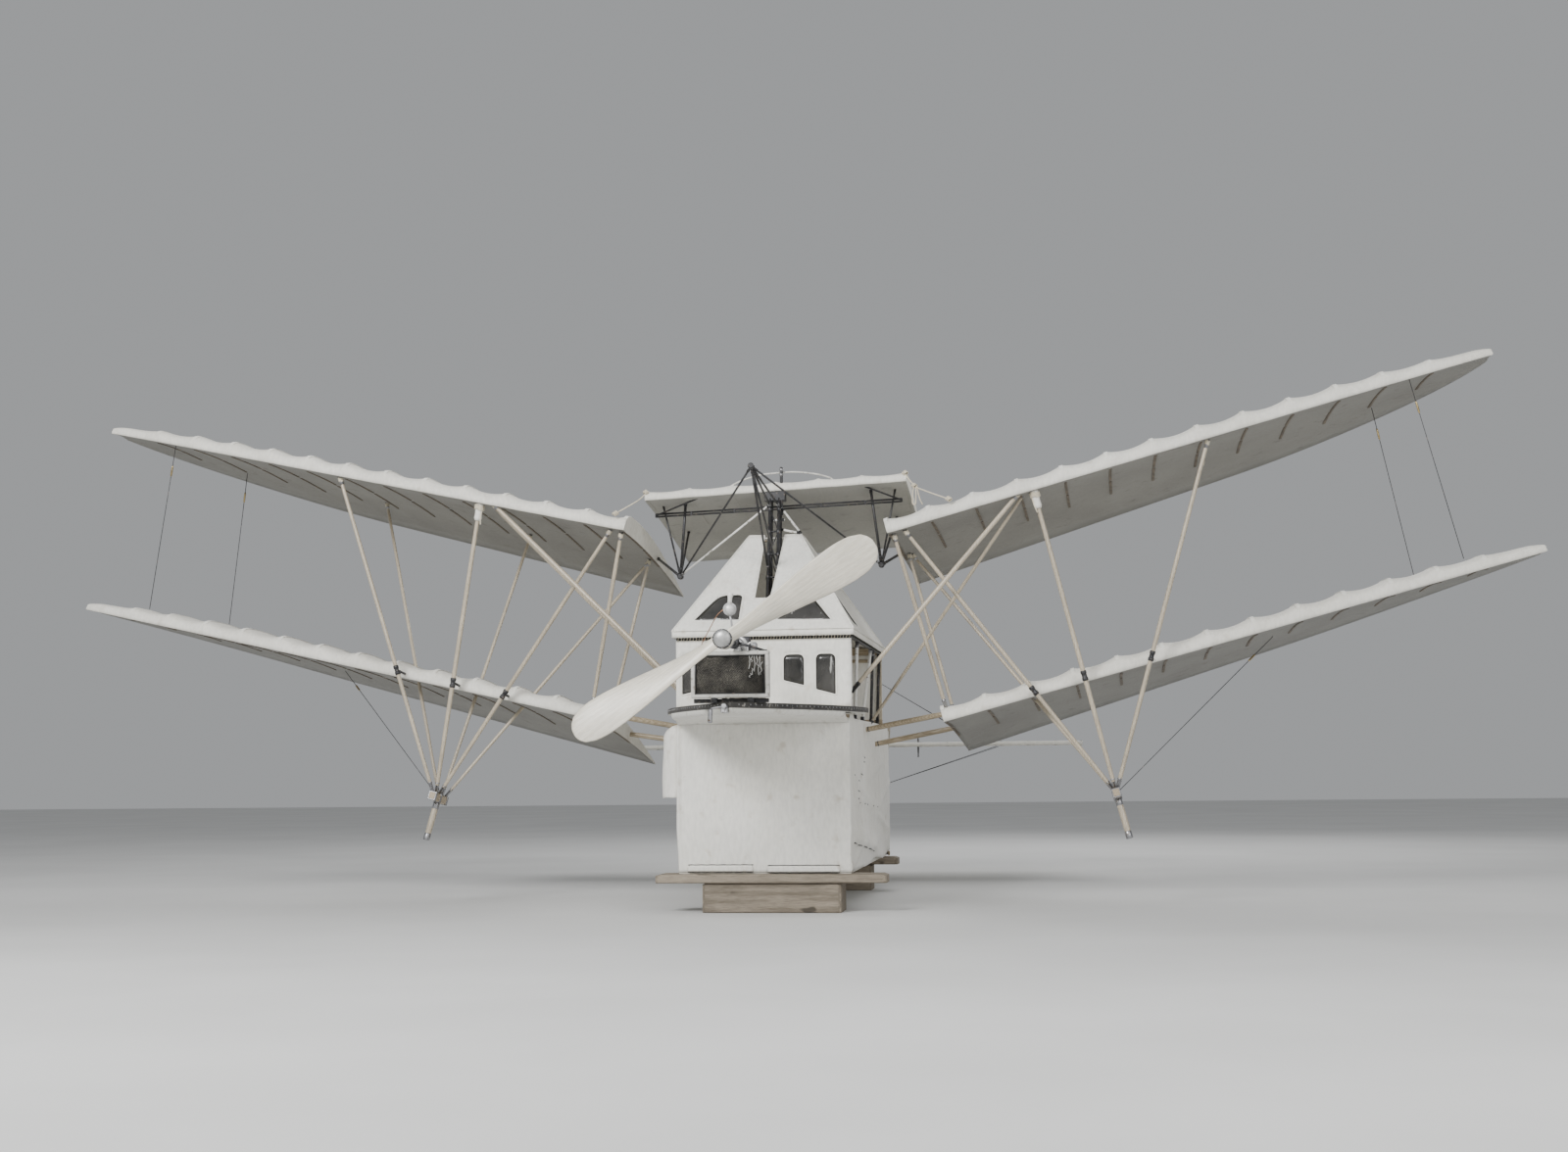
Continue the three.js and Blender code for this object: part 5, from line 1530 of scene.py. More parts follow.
def add_cabin_front():
    top, bottom = 2.312, DECK_TOP
    outline = [(-CABIN["half"], bottom), (CABIN["half"], bottom), (CABIN["half"], top), (-CABIN["half"], top)]
    holes = [
        rounded(((l, bl, 0.010), (r, br, 0.010), (r, t, 0.052), (l, t, 0.052)), 8)
        for l, r, t, bl, br in CABIN_WINDOWS
    ]

    def place(x, z, lift=0.0):
        ripple = 0.0025 * noise.noise(Vector((x * 4, z * 3, 3)))
        ripple += 0.0012 * noise.noise(Vector((x * 13, z * 9, 7)))
        return Vector((x, CABIN["front"] + 0.001 - lift + ripple, z))

    points, faces = cut_cloth(outline, holes, 0.045)
    shape = Shape()
    area = cloth(shape, [place(*p) for p in points], faces, THICK["wall"], WHITE_CANVAS)
    wall = shape.place("cabin_front_cloth", BODY, "canvas", ["cabin_front"])
    frames, panes = Shape(), Shape()
    y0, y1 = CABIN["front"] + 0.0055, CABIN["front"] + CABIN["wall"]
    half = CABIN["half"] - 0.001
    for low_y, low, high, look in (
        (y0, DECK_TOP, DECK_TOP + 0.040, SPRUCE_X), (y0 + 0.006, 2.300, 2.360, BLACK),
        (y0, 2.196, 2.222, SPRUCE_X),
    ):
        block(frames, (-half, low_y, low), (half, y1, high), look, 0.003)
    for x in (-0.735, -0.515, -0.10, 0.153, 0.403, 0.645, 0.735):
        block(
            frames, (x - 0.018, y0 + 0.001, DECK_TOP + 0.040), (x + 0.018, y1 - 0.001, 2.300), SPRUCE, 0.003,
        )
    for hole in holes:
        hem(frames, hole, place, 0.016, 0.0016, WHITE_CANVAS)
        pane_points, pane_faces = cut_cloth(hole, [], 0.05)
        # The dark panes paint the shade inside the cabin.
        cloth(panes, [place(*p, -0.0045) for p in pane_points], pane_faces, THICK["pane"], SHADED_CELLULOID)
    fittings = frames.place("cabin_front_frame", BODY, "painted_wood")
    glass = panes.place("cabin_panes", BODY, "canvas")
    laces = Shape()
    for k in range(58):
        x = -0.742 + 1.484 * k / 57
        lean = 0.010 * noise.noise(Vector((k * 3.7, 1, 1)))
        depth = CABIN["front"] - 0.004
        tube(laces, smooth_path([
            (x, depth, 2.306), (x + 0.006 + lean, depth - 0.010, 2.322), (x + 0.010, depth - 0.022, 2.336),
            (x + 0.013, -0.030, 2.343),
        ], 3), 0.0022, ROPE, 6)
    laces.place("cabin_lacing", BODY, "canvas")


def add_cabin_rear():
    half, top, bottom = CABIN["half"], CABIN["top"], 1.6353
    door = ((-0.260, 1.800, 0.020), (0.260, 1.800, 0.020), (0.260, 2.240, 0.060), (-0.260, 2.240, 0.060))
    outline = [(-half, bottom), (half, bottom), (half, top), (-half, top)]
    hole = rounded(door, 6)

    def place(x, z, lift=0.0):
        return Vector((-x, CABIN["back"] - 0.001 + lift + 0.003 * noise.noise(Vector((x * 4, z * 3, 9))), z))

    points, faces = cut_cloth(outline, [hole], 0.06)
    shape = Shape()
    area = cloth(shape, [place(*p) for p in points], faces, THICK["wall"], WHITE_CANVAS)
    wall = shape.place("cabin_rear_cloth", BODY, "canvas", ["cabin_rear"])
    frames = Shape()
    y0, y1 = CABIN["back"] - CABIN["wall"], CABIN["back"] - 0.0065
    for low, high in ((bottom, bottom + 0.045), (2.315, 2.360), (2.244, 2.275)):
        block(frames, (-half, y0, low), (half, y1, high), SPRUCE_X, 0.003)
    for x in (-0.735, -0.283, 0.283, 0.735):
        block(frames, (x - 0.020, y0 + 0.001, bottom + 0.045), (x + 0.020, y1 - 0.001, 2.315), SPRUCE, 0.003)
    hem(frames, hole, place, 0.020, 0.0018, WHITE_CANVAS)
    fittings = frames.place("cabin_rear_frame", BODY, "painted_wood")


def celluloid_look():
    look = Look("celluloid", 0.22, 0.0, Coat_Weight=0.5)
    # Near-black tone: painted shade of the dark cabin seen through the panes.
    tone = look.ramp(look.noise(4.5, 6), (0.34, (0.022, 0.022, 0.021)), (0.66, (0.070, 0.067, 0.062)))
    # Pale streaks over the dark tone.
    pale_streaks = look.grey(look.noise(11, 6, (1.6, 1.6, 0.35)), 1.0, 0.0, 0.66, 0.70)
    look.color(look.blend((0.40, 0.40, 0.38), tone, pale_streaks))
    look.shader.inputs["Alpha"].default_value = 0.92
    return look.bump((look.noise(14, 4), 0.3, 0.003))


# Canvas cover over the bow and its sides

COVER_INNER = HULL_HALF + 0.0025
# How far back the cover reaches on each side, and how round its corners are
COVER_BACK = {"left": 1.250, "right": 3.400}
COVER_CORNER = 0.016


def cover_path():
    """Stations round the bow in plan, from left to right: place and outward direction."""
    radius, rows = COVER_CORNER, []
    left, right = -COVER_INNER, COVER_INNER
    for k in range(43):
        y = COVER_BACK["left"] - (COVER_BACK["left"] - radius) * k / 42
        rows.append((Vector((left, y, 0)), Vector((-1, 0, 0))))
    for k in range(1, 5):
        angle = math.pi + math.pi / 2 * k / 5
        out = Vector((math.cos(angle), math.sin(angle), 0))
        rows.append((Vector((left + radius, radius - 0.0025, 0)) + out * radius, out))
    for k in range(61):
        x = left + radius + (right - left - 2 * radius) * k / 60
        rows.append((Vector((x, -0.0025, 0)), Vector((0, -1, 0))))
    for k in range(1, 5):
        angle = -math.pi / 2 + math.pi / 2 * k / 5
        out = Vector((math.cos(angle), math.sin(angle), 0))
        rows.append((Vector((right - radius, radius - 0.0025, 0)) + out * radius, out))
    for k in range(111):
        y = radius + (COVER_BACK["right"] - radius) * k / 110
        rows.append((Vector((right, y, 0)), Vector((1, 0, 0))))
    return rows


def cover_top(at):
    """Height of the cover's upper edge: up to the foredeck beside the bow, else just below the deck."""
    if at.y < 0.006:
        return 1.6285
    fall = min(1.0, max(0.0, (at.y - 0.24) / 0.05))
    return 1.6770 - 0.0450 * fall - 0.0485 * max(0.0, 1 - at.y / 0.03)


COVER_FOLDS = (
    # place along the side, height, slant, size
    (0.70, 0.640, -0.06, 0.014), (1.60, 0.500, 0.08, 0.016), (1.00, 0.980, -0.16, 0.014),
    (2.30, 1.220, 0.12, 0.018), (2.60, 0.700, -0.14, 0.026), (0.40, 0.455, 0.20, 0.022),
    (2.90, 0.960, 0.22, 0.020),
)
COVER_LAPS = (
    # start and end along the side, height at the start, slant, size; the lower edge of a lap is sharp
    (0.10, 2.30, 0.596, -0.081, 0.034), (0.02, 2.70, 0.925, -0.042, 0.012),
)
LACING = (
    # place along the side, height, length
    (1.040, 1.300, 0.050), (0.975, 1.262, 0.034), (0.760, 1.152, 0.046), (0.300, 1.150, 0.016),
    (0.600, 1.098, 0.030), (0.510, 1.010, 0.044), (0.420, 0.945, 0.022),
)
LAP_STITCHES = (0.62, 0.94, 1.18, 1.75, 2.10)


def lacing_place(z):
    """Where the lacing runs on the right side at a height."""
    return 0.42 + (z - 0.94) * 1.72


def cover_lift(at, out, z):
    """How far the canvas stands off the hull."""
    p = Vector((at.x, at.y, z))
    lift = 0.0020 + 0.0045 * max(0.0, noise.noise(p * 1.6) + 0.4) + 0.0016 * noise.noise(p * 7)
    if out.y < -0.7:
        if z < 0.42:
            lift = min(lift, 0.004)
        lift += 0.0020 * max(0.0, 1 - abs(z - 1.20 + 0.25 * at.x) / 0.10)
    if out.x > 0.7:
        loose = min(1.0, max(0.0, (at.y - 0.05) / 0.5))
        lift += loose * 0.006 * (1 + math.sin(at.y * 5.1 + z * 3.3 + 2 * noise.noise(p)))
        for y0, z0, slant, size in COVER_FOLDS:
            ridge = (z - z0 - slant * (at.y - y0)) / 0.034
            lift += size * math.exp(-ridge * ridge - ((at.y - y0) / 0.55) ** 2)
        for y0, y1, z0, slant, size in COVER_LAPS:
            above = z - z0 - slant * (at.y - y0)
            ends = min(1.0, max(0.0, (at.y - y0) / 0.15)) * min(1.0, max(0.0, (y1 - at.y) / 0.40))
            lift += size * ends * math.exp(-((above / (0.12 if above > 0 else 0.012)) ** 2))
        lift += 0.011 * math.exp(-(((at.y - lacing_place(z)) / 0.040) ** 2)) * (1 if 0.90 < z < 1.36 else 0.4)
    if out.x < -0.3:
        bulge = min(1.0, max(0.0, (z - 0.40) / 0.30)) * min(1.0, max(0.0, (1.62 - z) / 0.15))
        lift += 0.017 * bulge * math.exp(-((at.y / 0.25) ** 2))
    if out.x < -0.7:
        lift += 0.005 * (1 + math.sin(at.y * 6 + 3 * z)) * min(1.0, at.y / 0.3)
    low = max(0.0, (0.42 - z) / 0.08)
    return max(0.0015, lift + 0.0015 * low * math.sin(30 * (at.x + at.y)))


def add_cover():
    rows = cover_path()
    steps = 46
    points = []
    for at, out in rows:
        top = cover_top(at)
        foot = 0.337 + 0.004 * noise.noise(Vector((at.x * 6, at.y * 6, 0)))
        if out.x > 0.7:
            foot += 0.030 * max(0.0, at.y / COVER_BACK["right"]) * (1 + math.sin(at.y * 4))
        for k in range(steps + 1):
            z = foot + (top - foot) * k / steps
            points.append(Vector((at.x, at.y, z)) + out * cover_lift(at, out, z))
    faces = [face[::-1] for face in grid_faces(len(rows), steps + 1)]
    faces = turned_from(points, faces, 50 * (steps + 1) + 20, "y")
    shape = Shape()
    area = cloth(shape, points, faces, THICK["cover"], CANVAS)
    cover = shape.place("bow_canvas", BODY, "canvas", ["bow_cover"])
    add_cover_trim()


def on_cover(y, z, proud):
    """Distance from the middle to the cover's right side, and a little more."""
    return COVER_INNER + cover_lift(Vector((COVER_INNER, y, 0)), Vector((1, 0, 0)), z) + proud


def add_cover_trim():
    """Rolled foot of the cover's front with black cords along it as painted shade lines, lacing on its right
    side, a black tube below a lap as painted shade in the gap, and its stitches.
    """
    shape = Shape()
    for x0, x1, z0 in ((-0.655, -0.095, 0.362), (0.030, 0.640, 0.356)):
        # Black cords along the top and the foot of each batten: painted shade lines at its edges.
        for k in range(2):
            y, z = -0.011 - 0.006 * k, z0 + (0.040 - 0.060 * k)
            cord = [(x0 + (x1 - x0) * s / 20, y, z + 0.0015 * math.sin(s * 1.9)) for s in range(21)]
            tube(shape, cord, 0.0035, BLACK, 6)
            low = (x0 + 0.012 * k, -0.030 + 0.010 * k, z0 + 0.004 * k - 0.016)
            high = (x1 - 0.010 * k, -0.008 + 0.002 * k, z0 + 0.030 + 0.006 * k)
            block(shape, low, high, CANVAS, 0.008)
    for y, z, length in LACING:
        path = []
        for step in (k / 5 - 0.5 for k in range(6)):
            at, height = y + step * length, z - 0.25 * step * length
            path.append((on_cover(at, height, 0.0015), at, height))
        tube(shape, path, 0.0036, BLACK, 8)
    # Black tube under the lower edge of the first lap: painted shade below the lap.
    start, _, height, slant, _ = COVER_LAPS[0]
    gap = []
    for k in range(31):
        y = start + 0.08 + 1.66 * k / 30
        z = height + slant * (y - start) - 0.016
        gap.append((on_cover(y, z, 0.001), y, z + 0.002 * math.sin(9 * y)))
    tube(shape, gap, 0.0065, BLACK, 8)
    start, _, height, slant, _ = COVER_LAPS[1]
    for y in LAP_STITCHES:
        z = height + slant * (y - start) + 0.006
        x = on_cover(y, z, 0.001)
        tube(shape, [(x, y - 0.012, z - 0.003), (x, y, z), (x, y + 0.012, z + 0.002)], 0.0036, BLACK, 8)
    shape.place("cover_lacing", BODY, "canvas")


def add_flap():
    """Loose fold of the cover's canvas beside the bow, open below and gathered at its head."""
    root, foot, head, middle = -0.7372, 0.968, 1.600, 0.13
    profile = smooth_path([
        (root, 0.030), (-0.790, 0.012), (-0.862, 0.050), (-0.900, 0.120), (-0.897, 0.175), (-0.850, 0.225),
        (-0.790, 0.240), (root, 0.235),
    ], 5)
    points, steps = [], 34
    for k in range(steps + 1):
        t = k / steps
        z = foot + (head - foot) * t
        close = 1.0 if t < 0.80 else max(0.06, math.sqrt(max(0.0, 1 - ((t - 0.80) / 0.2) ** 2)))
        for p in profile:
            wave = 0.006 * noise.noise(Vector((p.x * 9, p.y * 9, z * 4))) if p.x < -0.75 else 0
            x = root + (p.x - root) * close * (0.97 + 0.03 * math.sin(7 * z)) + wave
            y = middle + (p.y - middle) * (0.35 + 0.65 * close)
            points.append(Vector((min(x, root), y, z + (0.004 * math.sin(40 * p.y) if k == 0 else 0))))
    faces = grid_faces(steps + 1, len(profile))
    faces = turned_from(points, faces, 10 * len(profile) + len(profile) // 2, "x")
    shape = Shape()
    area = cloth(shape, points, faces, THICK["cover"], CANVAS)
    flap = shape.place("cover_flap", BODY, "canvas")


# Foredeck, its beams and the starting crank

FOREDECK = {"half": 0.870, "back": 0.300, "apex": -1.640, "power": 1.63, "bottom": 1.680, "top": 1.725}
CRANK = (-0.050, -1.625, 1.692)


def deck_edge(t):
    """The deck's right edge, from its back corner at 0 to its apex at 1."""
    half = FOREDECK["half"] * (1 - t ** FOREDECK["power"])
    return Vector((max(0.0, half), FOREDECK["back"] + t * (FOREDECK["apex"] - FOREDECK["back"]), 0))


def add_foredeck():
    shape = Shape()
    shares = [1 - (1 - k / 40) ** 1.5 for k in range(41)]
    side = [deck_edge(t) for t in shares]
    loop = [(p.x, p.y) for p in side] + [(-p.x, p.y) for p in side[-2::-1]]
    count = len(loop)
    z0, z1 = FOREDECK["bottom"], FOREDECK["top"]

    def ring(inset, z):
        points = []
        for k, (x, y) in enumerate(loop):
            before, after = loop[k - 1], loop[(k + 1) % count]
            if k == 0:
                before = (x, y + 1)
            if k == count - 1:
                after = (x, y + 1)
            step = (Vector(after) - Vector(before)).normalized()
            away = Vector((-step.y, step.x))
            if away.dot(Vector((x, y + 0.6))) <= 0:
                away = -away
            points.append(Vector((x - away.x * inset, max(y - away.y * inset, FOREDECK["apex"] + inset), z)))
        return points

    rings = [ring(0.006, z0), ring(0.0005, z0 + 0.005), ring(0.0005, z1 - 0.005), ring(0.006, z1)]
    points = [p for row in rings for p in row]
    faces = grid_faces(4, count)
    middle = Vector((0, -0.4, (z0 + z1) / 2))
    shape.add(points, [outward(points, face, middle) for face in faces], DECK_EDGE)
    shape.add(*flat_strips(rings[3], 1), DECK_PLANKS, True)
    # The deck's underside takes the darker canvas copy: painted shade.
    shape.add(*flat_strips(rings[0], -1), SHADED_UNDER_CANVAS, True)
    back = [rings[r][k] for r in range(4) for k in (0, count - 1)]
    faces = [outward(back, face, middle) for face in ((0, 1, 3, 2), (2, 3, 5, 4), (4, 5, 7, 6))]
    shape.add(back, faces, DECK_EDGE, True)
    for sign in (-1, 1):
        for k in range(34):
            t = 0.06 + 0.90 * k / 33
            p, q = deck_edge(t), deck_edge(t + 0.002)
            step = Vector((sign * (q.x - p.x), q.y - p.y)).normalized()
            out = Vector((step.y, -step.x, 0))
            if out.x * sign < 0:
                out = -out
            at = Vector((sign * p.x, p.y, (z0 + z1) / 2 + 0.004)) - out * 0.002
            turned(shape, at, out, ((0, 0.0062), (0.003, 0.0058), (0.0045, 0.003)), STEEL, 8)
    shape.place("foredeck_planks", BODY, "painted_wood", ["foredeck"])


def flat_strips(loop, sign):
    """Fill of a flat loop that is symmetric in x, as strips across it that face up or down by the sign."""
    count = len(loop)
    half = count // 2
    points, faces = [], []
    for k in range(half + 1):
        points += [loop[k], loop[count - 1 - k]]
    for k in range(half):
        face = (2 * k, 2 * k + 1, 2 * k + 3, 2 * k + 2)
        a, b, c = (points[i] for i in face[:3])
        if (b - a).cross(c - b).z * sign < 0:
            face = face[::-1]
        faces.append(face)
    return points, faces


def add_skirt():
    """Canvas drawn from the foot of the deck's edge back to the bow, below the beams, in a darker copy of the
    canvas that paints the shade under the deck.
    """
    columns, steps, points = 72, 26, []
    width = 1.476
    for c in range(columns + 1):
        x = -width / 2 + width * c / columns
        t = (1 - abs(x) / FOREDECK["half"]) ** (1 / FOREDECK["power"])
        edge = FOREDECK["back"] + t * (FOREDECK["apex"] - FOREDECK["back"]) + 0.012
        for k in range(steps + 1):
            v = (k / steps) ** 1.6
            y = edge + (-0.012 - edge) * v
            drop = 0.0490 * (1 - math.exp(-(y - edge) / 0.030))
            fall = max(0.0, (y + 0.20) / 0.188)
            ripple = 1 + noise.noise(Vector((x * 5, y * 5, 1)))
            z = 1.6793 - drop - 0.040 * fall * fall - 0.0012 * ripple * v
            points.append(Vector((x, y, z)))
    faces = turned_from(points, grid_faces(columns + 1, steps + 1), 30 * (steps + 1) + 12, "z")
    shape = Shape()
    area = cloth(shape, points, faces, THICK["skirt"], SHADED_UNDER_CANVAS)
    skirt = shape.place("deck_skirt", BODY, "canvas")


def deck_edge_look():
    look = Look("deck_edge", 0.5)
    tone = look.ramp(look.noise(6, 5), (0.35, (0.030, 0.029, 0.028)), (0.66, (0.075, 0.070, 0.062)))
    worn = look.grey(look.noise(30, 5), 1.0, 0.0, 0.62, 0.70)
    look.color(look.blend((0.34, 0.32, 0.28), tone, worn))
    return look.bump((look.noise(90, 4), 0.3, 0.001))


def add_crank():
    shape = Shape()
    x, y, z = CRANK
    profile = (
        (0, 0.0115), (0, 0.0195), (0.003, 0.0205), (0.040, 0.0205), (0.045, 0.0185), (0.045, 0.0125),
        (0.012, 0.0115),
    )
    turned(shape, (x, y - 0.025, z), AFT, profile, ALLOY, 28)
    # Black disc closing the fitting's bore: painted shade in the hole.
    turned(shape, (x, y - 0.0235, z), AFT, ((0, 0.0135), (0.002, 0.0135)), BLACK, 20)
    block(shape, (x - 0.026, y - 0.008, 1.6400), (x + 0.026, -1.4905, 1.6795), ALLOY, 0.006)
    block(shape, (x + 0.012, y + 0.002, 1.664), (x + 0.030, y + 0.040, 1.700), STEEL, 0.006)
    arm = (
        (x - 0.018, y, z - 0.004), (x - 0.06, y, z - 0.010), (x - 0.100, y, z - 0.018),
        (x - 0.108, y, z - 0.032),
    )
    tube(shape, smooth_path(arm, 5), 0.0085, STEEL, 12)
    turned(shape, (x - 0.1075, y, z - 0.020), (-0.04, 0, -1), (
        (0, 0.008), (0.003, 0.016), (0.010, 0.0185), (0.060, 0.0175), (0.098, 0.0185), (0.106, 0.016),
        (0.109, 0.010),
    ), STEEL, 20)
    shape.place("starting_handle", BODY, "dark_steel", ["starting_crank"])


# Radiator, with the shaft's nose bearing that it stays

RADIATOR = {
    "left": -0.345, "right": 0.275, "front": -1.450, "back": -1.380, "bottom": 1.762, "top": 2.128,
    "frame": 0.032,
}
# Height of the propeller's shaft
SHAFT = 2.190
DRIPS = (
    # x, upper end and length of each run of solder
    (0.118, 2.096, 0.11), (0.134, 2.100, 0.06), (0.158, 2.096, 0.13), (0.180, 2.100, 0.09),
    (0.200, 2.096, 0.16), (0.212, 2.040, 0.10), (0.146, 1.990, 0.05), (0.126, 1.955, 0.035),
)


def add_radiator():
    r = RADIATOR
    shape = Shape()
    y0, y1 = r["front"], r["back"]
    f = r["frame"]
    block(shape, (r["left"], y0, r["top"] - f), (r["right"], y1, r["top"]), PALE_METAL, 0.007)
    block(shape, (r["left"], y0, r["bottom"]), (r["right"], y1, r["bottom"] + f), PALE_METAL, 0.007)
    for x0, x1 in ((r["left"], r["left"] + f), (r["right"] - f, r["right"])):
        block(
            shape, (x0, y0 + 0.0008, r["bottom"] + f - 0.006), (x1, y1 - 0.0008, r["top"] - f + 0.006),
            PALE_METAL, 0.007,
        )
    for x in (r["left"] + f + 0.004, r["right"] - f - 0.004):
        bead = [(x, y0 + 0.006, r["bottom"] + f - 0.002), (x, y0 + 0.006, r["top"] - f + 0.002)]
        tube(shape, bead, 0.004, BLACK, 8)
    for z in (r["bottom"] + f + 0.003, r["top"] - f - 0.003):
        tube(shape, [(r["left"] + f, y0 + 0.006, z), (r["right"] - f, y0 + 0.006, z)], 0.004, BLACK, 8)
    for x in (-0.30, -0.15, 0.0, 0.12, 0.23):
        turned(shape, (x, y0 + 0.001, r["bottom"] + 0.016), FORE, ((0, 0.006), (0.0006, 0.0055)), STEEL, 10)
    core = []
    columns, lines = 62, 36
    for k in range(lines + 1):
        for c in range(columns + 1):
            x = r["left"] + 0.012 + (r["right"] - r["left"] - 0.024) * c / columns
            z = r["bottom"] + 0.012 + (r["top"] - r["bottom"] - 0.024) * k / lines
            depth = 0.0145 + 0.0022 * ((c + k) % 2) + 0.0015 * noise.noise(Vector((x * 9, z * 9, 0)))
            core.append(Vector((x, y0 + depth, z)))
    faces = []
    for face in grid_faces(lines + 1, columns + 1):
        a, b, c = (core[i] for i in face[:3])
        faces.append(face if (b - a).cross(c - b).y < 0 else face[::-1])
    back = [Vector((p.x, y0 + y1 - p.y, p.z)) for p in core]
    shape.add(core, faces, CORE, True)
    shape.add(back, [face[::-1] for face in faces], CORE, True)
    # Black board under the radiator between its feet, a dark piece standing in for the shade there: painted
    # shade.
    block(shape, (-0.335, y1 - 0.006, DECK_TOP), (0.262, y1 + 0.028, 1.7590), BLACK, 0.004)
    for x in (-0.165, 0.125):
        for half, front, back_y, low, high, edge in (
            (0.025, y0 + 0.010, y1 - 0.010, DECK_TOP, r["bottom"] + 0.003, 0.004),
            (0.018, y0 + 0.004, y0 + 0.010, r["bottom"] - 0.020, r["bottom"] + 0.004, 0.002),
        ):
            block(shape, (x - half, front, low), (x + half, back_y, high), BLACK, edge)
    turned(shape, (0.02, -1.415, r["top"]), UP, (
        (0, 0.030), (0.012, 0.030), (0.014, 0.026), (0.030, 0.026), (0.036, 0.020), (0.038, 0.006),
    ), BRIGHT, 24)
    outlet = (
        (0.075, -1.40, r["top"] - 0.004), (0.090, -1.41, 2.175), (0.072, -1.42, 2.215), (0.030, -1.40, 2.236),
        (0.012, -1.36, 2.232),
    )
    overflow = (
        (0.150, -1.42, r["top"] - 0.004), (0.158, -1.44, 2.160), (0.135, -1.46, 2.190),
        (0.112, -1.462, 2.172), (0.108, -1.458, r["top"] - 0.002),
    )
    tube(shape, smooth_path(outlet, 7), 0.014, BRIGHT, 14)
    tube(shape, smooth_path(overflow, 7), 0.007, BRIGHT, 14)
    nose_front, nose_back = -1.530, -1.450
    turned(shape, (0, nose_front, SHAFT), AFT, (
        (0, 0.0275), (0, 0.040), (0.004, 0.0475), (0.020, 0.0475), (0.026, 0.043), (0.054, 0.043),
        (0.060, 0.0475), (0.076, 0.0475), (0.080, 0.040), (0.080, 0.0275),
    ), IRON, 32)
    middle = (nose_front + nose_back) / 2
    for x in (r["left"] + 0.095, r["right"] - 0.030):
        stay = [(math.copysign(0.032, x), middle, SHAFT), (x, (y0 + y1) / 2, r["top"] - 0.002)]
        tube(shape, stay, 0.0105, BLACK, 14)
        turned(
            shape, (x, (y0 + y1) / 2, r["top"] - 0.002), UP,
            ((0, 0.020), (0.005, 0.020), (0.006, 0.012), (0.012, 0.012)), BLACK, 12,
        )
    drips = Shape()
    for k, (x, z, length) in enumerate(DRIPS):
        path = [
            (x + 0.016 * noise.noise(Vector((k * 2.3, s * 0.6, 0.5))), y0 + 0.0125, z - length * s / 6)
            for s in range(7)
        ]
        tube(drips, path, [0.0026 + 0.0022 * noise.noise(Vector((k * 3, s, 2))) for s in range(7)], SOLDER, 8)
    drips.place("radiator_solder", BODY, "radiator_brass")
    shape.place("radiator_body", BODY, "radiator_brass", ["radiator"])


def add_header_tank():
    """Small round header tank on the nose bearing, with its filler and its pipe to the radiator."""
    shape = Shape()
    centre = Vector((-0.023, -1.498, 2.453))
    angles = [math.pi * (k / 16 - 0.5) for k in range(17)]
    rows = [(0.049 * math.sin(angle), max(0.004, 0.049 * math.cos(angle))) for angle in angles]
    axis = (0.05, -1, 0.1)
    turned(shape, centre, axis, rows, BRIGHT, 28)
    band = ((-0.004, 0.0494), (-0.004, 0.0525), (0.004, 0.0525), (0.004, 0.0494))
    turned(shape, centre, axis, band, ALLOY, 28)
    turned(shape, centre + Vector((0, 0, 0.044)), (0.08, 0, 1), (
        (0, 0.017), (0.030, 0.0165), (0.046, 0.018), (0.060, 0.022), (0.078, 0.0225), (0.082, 0.019),
        (0.083, 0.004),
    ), WHITE_METAL, 22)
    stem = [centre - Vector((0, 0, 0.046)), (-0.012, -1.492, 2.36), (0, -1.490, SHAFT + 0.046)]
    tube(shape, stem, 0.0075, ALLOY, 12)
    turned(
        shape, (0, -1.490, SHAFT + 0.044), UP,
        ((0, 0.018), (0.008, 0.018), (0.012, 0.011), (0.020, 0.010)), BLACK, 16,
    )
    pipe = smooth_path([
        centre + Vector((-0.044, 0, -0.006)), (-0.085, -1.497, 2.442), (-0.130, -1.49, 2.400),
        (-0.190, -1.470, 2.300), (-0.245, -1.445, 2.210), (-0.275, -1.425, 2.150),
        (-0.280, -1.415, RADIATOR["top"] - 0.004),
    ], 8)
    tube(shape, pipe, 0.0036, COPPER, 10)
    turned(
        shape, (-0.280, -1.415, RADIATOR["top"] - 0.002), UP,
        ((0, 0.010), (0.010, 0.010), (0.012, 0.007), (0.022, 0.006)), BRASS, 6,
    )
    shape.place("header_tank", BODY, "radiator_brass")


# Engine

ENGINE = {"half": 0.118, "front": -1.290, "back": -0.640, "bottom": 1.830, "top": 1.930}


def add_bolts(shape, count, radius, y, profile, look):
    """Ring of bolts round the shaft, with their heads towards the nose."""
    for k in range(count):
        angle = 2 * math.pi * k / count
        at = (radius * math.cos(angle), y, SHAFT + radius * math.sin(angle))
        turned(shape, at, FORE, profile, look, 6)


